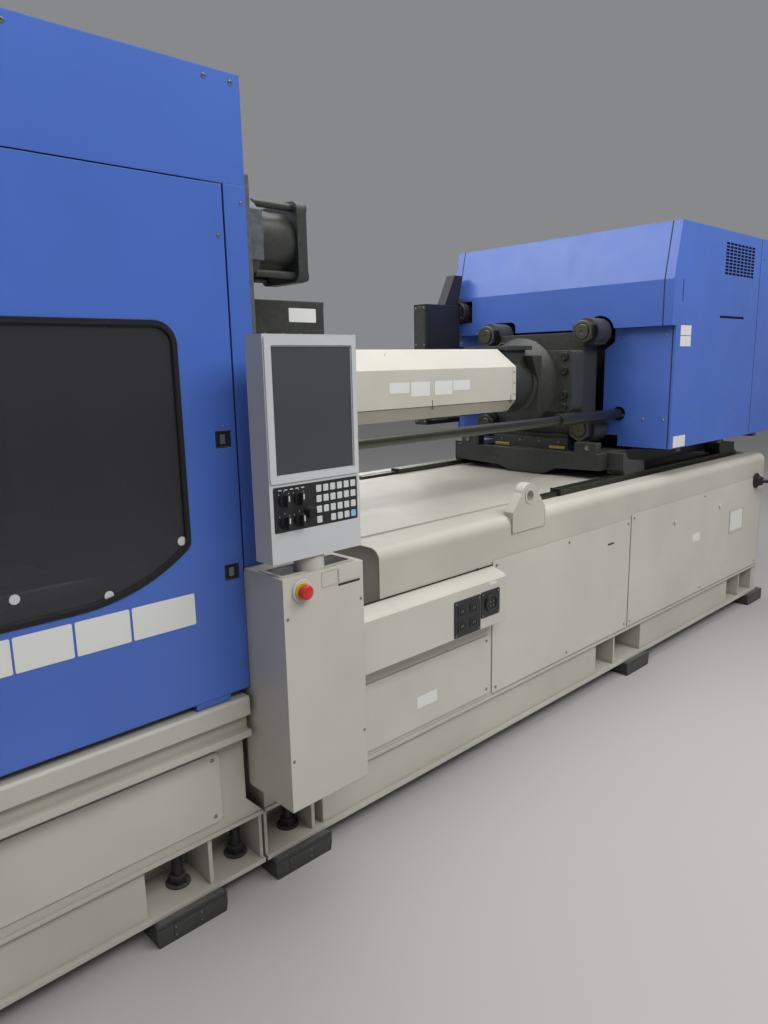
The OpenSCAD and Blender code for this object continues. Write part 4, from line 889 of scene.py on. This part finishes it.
# %% Plates on the wedges, washers and threads of the jack bolts
WEDGES = (-3020, -1525, -190, 183, 2198, 3634)
JACKS = (-3020, -1580, -176, 8, 197, 1905, 2045, 3300, 3500)
WEDGE_FACE, JACK_Y = 686, 583
mesh = bmesh.new()
for side in (-1, 1):
    for x in WEDGES:
        pad(mesh, side, WEDGE_FACE, (x - 57, x + 29), (12, 44), -0.6, 1, 0, 2, 0.5)
        block(mesh, around(x, 103), around(side * WEDGE_FACE, 0.7), (52, 54), 1)
        screws(mesh, "y", product((x - 52, x + 24), (17, 39)), side * (WEDGE_FACE + 1), side, 2.2, 3)
    for x in JACKS:
        for z, radius in ((80, 34), (102, 23)):
            turned(mesh, "z", x, side * JACK_Y, z, 1,
                   [(15, 0), (radius, 0), (radius, 4), (radius - 2, 5), (15, 5)], 2, 28)
        thread = [(14.3 + 0.9 * (k % 2), 2.5 * k) for k in range(24)]
        turned(mesh, "z", x, side * JACK_Y, 108, 1, thread, 2, 20)
make_piece("mount_details", mesh, "frame",
           ("dark_casting", "black_plastic", "black_steel", "zinc_screw"))

# %% [markdown]
# ## The feed housing's flange
#
# The barrel is bolted to the drive through a flange with four socket head bolts on each side, each
# in a spot face. Two lifting eyes stand on the flange's top edge. A socket head is a turned profile
# with a dark hexagon, painted shade for its hole; an eye is a ring made of small circles set round a larger
# one.

# %% Flange bolts and lifting eyes
FLANGE_X, HOOD_X = 2150.0, 2400.0
EYE_RADIUS, EYE_BAR = 17, 5.5
across, up = Vector((0.73, -0.69, 0)).normalized(), Vector((0, 0, 1))
mesh = bmesh.new()
for y, z in product((-263, 263), (1491, 1424, 1307, 1250)):
    washer(mesh, "x", y, z, 26, 22, FLANGE_X - 2.2, FLANGE_X + 1, 1, 32)
    socket_head(mesh, "x", y, z, FLANGE_X, -1, 19, 13, 0, 2)
for foot in (Vector((2195, -58, 1520)), Vector((2195, 150, 1520))):
    middle = foot + up * (EYE_RADIUS + EYE_BAR * 1.6)
    loops = []
    for c, s in circle(0, 0, 1, 28):
        outward = across * c + up * s
        loops.append([mesh.verts.new(middle + outward * (EYE_RADIUS + u) + across.cross(up) * v)
                      for u, v in circle(0, 0, EYE_BAR, 10)])
    close_skin(mesh, bridge(mesh, loops + loops[:1]), 0)
    turned(mesh, "z", foot.x, foot.y, foot.z, 1, [(EYE_BAR * 2.2, -1), (EYE_BAR * 2.2, 3),
           (EYE_BAR * 1.3, 6), (EYE_BAR * 1.2, EYE_BAR * 1.6)], 0, 20)
make_piece("flange_bolts", mesh, "injection_unit",
           ("black_steel", "dark_casting", "black_plastic"))

# %% [markdown]
# ## Nuts of the tie rods
#
# Each tie rod of the injection unit ends in a chamfered nut. The rod's end stands a little proud of
# it and has a centre hole from the lathe. A ring of small pin holes takes the spanner; each hole is
# a black disc, painted shade for its depth.

# %% Rod ends and spanner holes
NUT_X = 2243.0
mesh = bmesh.new()
for y, z in product((-295, 295), around(AXIS_Z, 236)):
    turned(mesh, "x", y, z, NUT_X, -1, [(54, -1), (54, 2), (51, 3.5), (40, 3.5), (38, 1), (36, 1), (36, 7),
           (33, 9), (9, 9), (7, 6), (0, 6)], 0, 48)
    # Pin holes: black discs, painted shade for the holes.
    for u, v in circle(y, z, 46, 6, 30):
        turned(mesh, "x", u, v, NUT_X, -1, [(3.2, 3.4), (3.2, 3.8), (0, 3.8)], 1, 12)
make_piece("rod_nut_faces", mesh, "injection_unit", ("dark_bar", "black_plastic"))

# %% [markdown]
# ## The carriage
#
# Brass gibs lie between the carriage's beam and the block above it; a short length of each shows.
# Screws close the side blocks, and black wipers sit on the shoes where they run on the rails.

# %% Brass gibs, block screws and rail wipers
mesh = bmesh.new()
for side in (-1, 1):
    block(mesh, (2235, 2240.8), on_side(side, 125, 219), (1031, 1047), 0, 0.8)
    hex_bolt(mesh, "x", side * 375, 1053, 2190, -1, 10, 1)
    screws(mesh, "x", ((side * 180, 1066), (side * 60, 1066)), 2240, -1, 6, 1)
    for x in (2259, 2465, 3349, 3555):
        block(mesh, (x, x + 8), on_side(side, 470, 530), (926, 950), 2, 1.5)
make_piece("carriage_fittings", mesh, "injection_unit",
           ("brass", "zinc_screw", "rubber"))

# %% [markdown]
# ## The barrel cover
#
# The cover is folded from white sheet. Its lower flap meets the side in a narrow dark seam with two
# small latches. Four bare plates stick to its side. Both ends carry a turned rim with rivets.

# %% Seam, latches, plates and rivets of the barrel cover
COVER_X, COVER_SIDE, COVER_Z = (700.0, 1848.0), 200.0, 1380
COVER_RIM = [(-150, 1244), (-200, 1297), (-200, 1448), (-90, 1530), (90, 1530), (200, 1448), (200, 1297),
             (150, 1244)]


def rim(share):
    return [(y * share, COVER_Z + (z - COVER_Z) * share) for y, z in COVER_RIM]


mesh = bmesh.new()
for side in (-1, 1):
    face = side * COVER_SIDE
    block(mesh, inset(COVER_X, 2), around(face, 0.5), (1296.2, 1298.6), 1)
    for x in (1282, 1811):
        block(mesh, around(x, 1.4), around(face, 0.7), (1298, 1322), 1)
        pad(mesh, side, COVER_SIDE, around(x, 5), (1284, 1294), -1, 2, 2, 1.5, 0.5)
    for x, low in ((1092, 1357), (1212, 1341), (1350, 1341), (1465, 1356)):
        pad(mesh, side, COVER_SIDE, around(x, 55), (low, 1399), -0.4, 0.7, 3, 3)
    screws(mesh, "y", product(inset(COVER_X, 12), (1325, 1375, 1425)), face, side, 4, 2)
    slope = Vector((-side * 110, -82)).normalized()
    outward = Vector((side * 82, 110)).normalized() * 0.5
    middle = Vector((side * 122, 1506))
    bar = [middle + slope * s + outward * t for s, t in ((-11, -1), (11, -1), (11, 1), (-11, 1))]
    prism(mesh, "x", bar, 1085.8, 1088.2, 1)
for x in (COVER_X[0] + 24.5, COVER_X[1] - 26):
    ring(mesh, "x", rim(1.004), rim(0.99), x - 0.8, x + 0.8, 0)
make_piece("barrel_cover_trim", mesh, "injection_unit",
           ("white_paint", "black_plastic", "zinc_screw", "label_film"))

# %% [markdown]
# ## The injection hood
#
# The hood is bent from blue sheet in several lengths. Its front panel meets the side panel in a
# seam that climbs the front, leans back with it and goes on over the roof. The seam is a thin dark
# strip that follows the hood's own outline. Screws with domed heads hold the lower covers.

# %% Seams of the hood
APRON_Z, CREASE_Z, ROOF_Z, ROOF_X, HOOD_END, HOOD_JOINT = 1621.0, 1829.0, 2090.0, 2457.0, 4000.0, 3390
SEAM = 1.5
mesh = bmesh.new()
for side in (-1, 1):
    strip = [(HOOD_X - 0.7, APRON_Z), (HOOD_X - 0.7, CREASE_Z), (ROOF_X - 0.4, ROOF_Z + 0.7),
             (HOOD_END - 6, ROOF_Z + 0.7), (HOOD_END - 6, ROOF_Z - 1), (ROOF_X + 0.6, ROOF_Z - 1),
             (HOOD_X + 1, CREASE_Z), (HOOD_X + 1, APRON_Z)]
    prism(mesh, "y", strip, *on_side(side, 619.5, 624.5), 0)
    block(mesh, (2439.3, 2441), on_side(side, 652.5, 657.5), (1045, 1620), 0)
    block(mesh, around(HOOD_JOINT, SEAM), around(side * SIDE_FACE, 0.6), (1046, 2087), 0)
block(mesh, around(HOOD_JOINT, SEAM), (-665, 665), around(ROOF_Z, 0.6), 0)
make_piece("hood_seams", mesh, "injection_unit", ("rubber",))

# %% Screws and bare plates of the hood
mesh = bmesh.new()
screws(mesh, "x", ((-160, 1607), (294, 1605), (492, 1627), (591, 1629)), HOOD_X, -1, 6)
for side in (-1, 1):
    screws(mesh, "x", [(side * y, z) for y, z in ((402, 1577), (630, 1581), (527, 1181), (629, 1182))],
           2440, -1, 7)
    screws(mesh, "y", ((2657, 1190), (3179, 1192), (3375, 1192), (3430, 1192), (3960, 1192), (3430, 1990),
                       (3960, 1990), (3960, 1600)), side * SIDE_FACE, side, 7)
    for x, z in (((2489, 2598), (1577, 1623)), ((2489, 2598), (1526, 1574)), ((2471, 2597), (1047, 1102))):
        pad(mesh, side, SIDE_FACE, x, z, -0.4, 0.8, 1, 3)
make_piece("hood_screws", mesh, "injection_unit", ("zinc_screw", "label_film"))

# %% [markdown]
# ## Behind the vents
#
# A perforated vent looks black because a filter mat sits behind it. A dark plate with a frame, just
# inside the sheet, stands for that mat. Behind the two long slots the same dark plate is painted
# shade for the dark inside of the hood.

# %% Filter mat behind the vent, painted shade behind the slots
mesh = bmesh.new()
# The first plate is the vent's filter mat; the other two are painted shade behind the slots.
for x, z in (((2925, 3312), (1868, 2048)), ((2480, 2506), (1722, 1838)), ((2902, 3220), (1656, 1688))):
    block(mesh, x, (-662.5, -660.5), z, 0, 0.5)
    ring(mesh, "y", rectangle(inset(x, -4), inset(z, -4)), rectangle(x, z), -664.6, -660, 1)
make_piece("vent_mat_and_slot_shade", mesh, "injection_unit", ("rubber", "black_plastic"))

# %% [markdown]
# ## The motor and the cable column
#
# The round black motor that looks out of the hood's corner has a ribbed end bell with screws. The
# column behind the flange carries the cables up to the hood; its front is a screwed lid.

# %% End bell of the motor, lid of the column
MOTOR, MOTOR_END, LID_X = (603, 1750), 2366, 2078.4
mesh = bmesh.new()
turned(mesh, "x", *MOTOR, MOTOR_END, -1, [(58, 0), (58, 2.4), (54, 6), (50, 7), (50, 5), (30, 5),
       (29, 7.5), (12, 7.5), (11, 6), (0, 6)], 0, 48)
for u, v in circle(*MOTOR, 41, 4, 45):
    socket_head(mesh, "x", u, v, MOTOR_END - 5, -1, 5, 4, 1, 2)
for x in range(2372, 2398, 6):
    washer(mesh, "x", *MOTOR, 59.2, 57, x, x + 2.5, 0, 48)
make_piece("motor_end", mesh, "injection_unit", ("black_steel", "zinc_screw", "rubber"))

mesh = bmesh.new()
prism(mesh, "x", rectangle((592, 668), (1140, 1780), 6), LID_X, LID_X + 2.2, 0, 0.8)
screws(mesh, "x", product((599, 661), (1150, 1360, 1570, 1770)), LID_X, -1, 4.5, 1)
for z in (1300, 1560):
    block(mesh, (2186, 2192), (583.4, 586), around(z, 1), 2)
make_piece("column_lid", mesh, "injection_unit", ("dark_casting", "zinc_screw", "rubber"))

# %% [markdown]
# ## The purge guard
#
# Over the nozzle hangs a sheet guard that swings up on a hinge. Each side has a window with a dark
# pane and a frame, and a bare plate above it.

# %% Panes, frames and plates of the guard
GUARD_SIDE = 300.0
mesh = bmesh.new()
for side in (-1, 1):
    face = side * GUARD_SIDE
    # The pane uses the window finish, whose near-black colour is painted shade for the inside of the guard.
    pad(mesh, side, GUARD_SIDE, (372, 568), (1252, 1568), -6, -3.6, 0, 22)
    ring(mesh, "y", rectangle((372, 568), (1252, 1568), 26), rectangle((381, 559), (1261, 1559), 19),
         face - side * 0.5, face + side * 2.2, 1)
    pad(mesh, side, GUARD_SIDE, (495, 606), (1613, 1657), -0.4, 0.8, 2, 3)
    screws(mesh, "y", product((400, 470, 540), (1575,)), face, side, 3.5, 3)
    screws(mesh, "y", product((304, 330), (1640,)), face, side, 4, 3)
ring(mesh, "x", rectangle((-299.5, 299.5), (1661, 1679.5)), rectangle((-294, 294), (1664, 1676)), 639,
     641.5, 1)
make_piece("guard_windows", mesh, "purge_guard",
           ("window_pane", "rubber", "label_film", "zinc_screw"))

# %% [markdown]
# ## Nuts of the tie bars
#
# A thick plate, held by long bolts, keeps each tie bar nut from turning. The bolts have socket heads,
# each a washer round a black hexagon that is painted shade for the socket. The boss under the nut has
# two threaded holes in its flat side, where a bracket could be fixed; they are black discs, painted
# shade for the holes.

# %% Bolt heads of the retainers, holes of the bosses
BAR, NUT_END, BOLT_END, BOSS_SIDE = 450, 390.0, 401.0, 564.4
mesh = bmesh.new()
for side, level in product((-1, 1), (-1, 1)):
    y, z = side * BAR, AXIS_Z + level * BAR
    for u, v in product(around(y, 66), around(z, 92)):
        # Black hexagon: painted shade for the bolt's socket.
        prism(mesh, "x", circle(u, v, 7.5, 6), BOLT_END, BOLT_END + 1.4, 1)
        washer(mesh, "x", u, v, 15.4, 9, BOLT_END, BOLT_END + 2.4, 0, 28)
    washer(mesh, "x", y, z, 46, 40, NUT_END - 0.6, NUT_END + 2.4, 0, 40)
    turned(mesh, "x", y, z, NUT_END, 1, [(12, -1), (12, 1.6), (9, 2), (0, 2)], 1, 28)
    for x in (191, 216):
        # Black discs: painted shade for the boss's threaded holes.
        turned(mesh, "y", x, z - 2, side * BOSS_SIDE, side, [(5.5, 0), (5.5, 0.9), (0, 0.9)], 1, 20)
make_piece("retainer_bolts", mesh, "frame", ("dark_casting", "rubber"))

# %% [markdown]
# ## The bed's edge
#
# Small things along the bed: the oiled strip beside the rail, the flush screws of the rail, the rims
# and welds of the lifting lugs, and a rubber gland where a pipe leaves the side wall.

# %% Strips on the bed, lug rims and the gland
RAIL_Y, LUG, LUG_BACK, WELD = 500, (1317, 970), 628, 667.7328
mesh = bmesh.new()
for side in (-1, 1):
    block(mesh, (1500, 1738), on_side(side, 484, 516), (894, 913), 0, 1)
    block(mesh, (1736, 1744), around(side * RAIL_Y, 26), (894, 928), 1, 1.5)
    for x in range(1800, 3560, 160):
        prism(mesh, "z", circle(x, side * RAIL_Y, 8), 924, 925.15, 1)
    for near, far in ((SIDE_FACE + 1.8, SIDE_FACE - 1), (LUG_BACK + 1, LUG_BACK - 1.8)):
        washer(mesh, "y", *LUG, 30, 21.2, side * near, side * far, 2)
    for x in (1212, 1417):
        tube(mesh, [(x, side * WELD, z) for z in (842, 905)], 2.2, 2)
make_piece("bed_strips", mesh, "frame", ("dark_bar", "rubber", "warm_grey_paint"))

mesh = bmesh.new()
turned(mesh, "y", 3557, 757, -SIDE_FACE, -1, [(44, -1), (44, 6), (38, 12), (30, 16), (26, 32), (24, 36),
       (12, 38)], 0, 32)
bend = [(x, y, 757) for x, y in arc(3591, -702, 34, 180, 270, 6)]
tube(mesh, bend + [(3640, -736, 755), (3672, -736, 754)], 11, 1, 16)
turned(mesh, "x", -736, 754, 3650, 1, [(15, 0), (16, 2), (16, 26), (14, 28), (8, 28)], 0, 6)
make_piece("side_gland", mesh, "frame", ("rubber", "black_steel"))

# %% [markdown]
# ## Covers of the clamp half
#
# The hood over the toggle is made of panels too. Seams, screws and lifting handles show where it
# opens, on both sides. The slotted end plate gets a dark sheet behind its slots, a painted shade for the
# dark inside.

# %% Seams, handles and screws of the clamp hood
HOOD_SIDE, HOOD_TOP, HANDLE_Z = 640.0, 2100.0, 1300
mesh = bmesh.new()
for side in (-1, 1):
    face = side * HOOD_SIDE
    for x in (-2780, -2180):
        block(mesh, around(x, SEAM), around(face, 0.6), (745, HOOD_TOP), 0)
    block(mesh, (-3198, -1565), around(face, 0.6), (1996, 1999), 0)
    screws(mesh, "y", product((-3160, -2820, -2740, -2220, -2140, -1600), (780, 1400, 1960)), face, side,
           7, 1)
    for x in (-2480, -1880):
        tube(mesh, [(x + u, face + side * v, HANDLE_Z) for u, v in
                    ((-60, 0), (-60, 22), (-54, 28), (54, 28), (60, 22), (60, 0))], 6, 2)
for x in (-2780, -2180):
    block(mesh, around(x, SEAM), (-HOOD_SIDE, HOOD_SIDE), around(HOOD_TOP, 0.6), 0)
# Dark sheet behind the end plate's slots: painted shade for the inside of the hood.
block(mesh, (-3192, -3190), (-460, 460), (HOOD_TOP - 615, HOOD_TOP - 180), 0, 0.5)
make_piece("clamp_hood_trim", mesh, "frame", ("rubber", "zinc_screw", "black_plastic"))

# %% Seams and screws of the top cover and the posts
mesh = bmesh.new()
for side in (-1, 1):
    face = side * COVER_FACE
    for x in (-1030, -500):
        block(mesh, around(x, SEAM), around(face, 0.6), (1970, 2145), 0)
    screws(mesh, "y", product((-1500, -1090, -970, -560, -440, -10, 60), (2125,)), face, side, 6, 1)
    screws(mesh, "y", product((72,), (700, 1100, 1500, 1860)), face, side, 5, 1)
for x in (-1030, -500):
    block(mesh, around(x, SEAM), (-697, 697), (2145.4, 2146.05), 0)
make_piece("top_cover_trim", mesh, "frame", ("rubber", "zinc_screw"))

# %% Screws and stop buffers of the gates
for side, body, name in ((-1, "front_gate", "gate_handle_front"), (1, "back_gate", "gate_handle_rear")):
    mesh = bmesh.new()
    face = side * COVER_FACE
    screws(mesh, "y", product((-1545, 4), (700, 1780)), face, side, 5, 1)
    for x in (-1552, 11):
        turned(mesh, "x", face - side * 17, 900, x, 1, [(8, -4), (8, 4), (6, 6), (0, 6)], 0, 20)
    make_piece(name, mesh, body, ("rubber", "zinc_screw"))
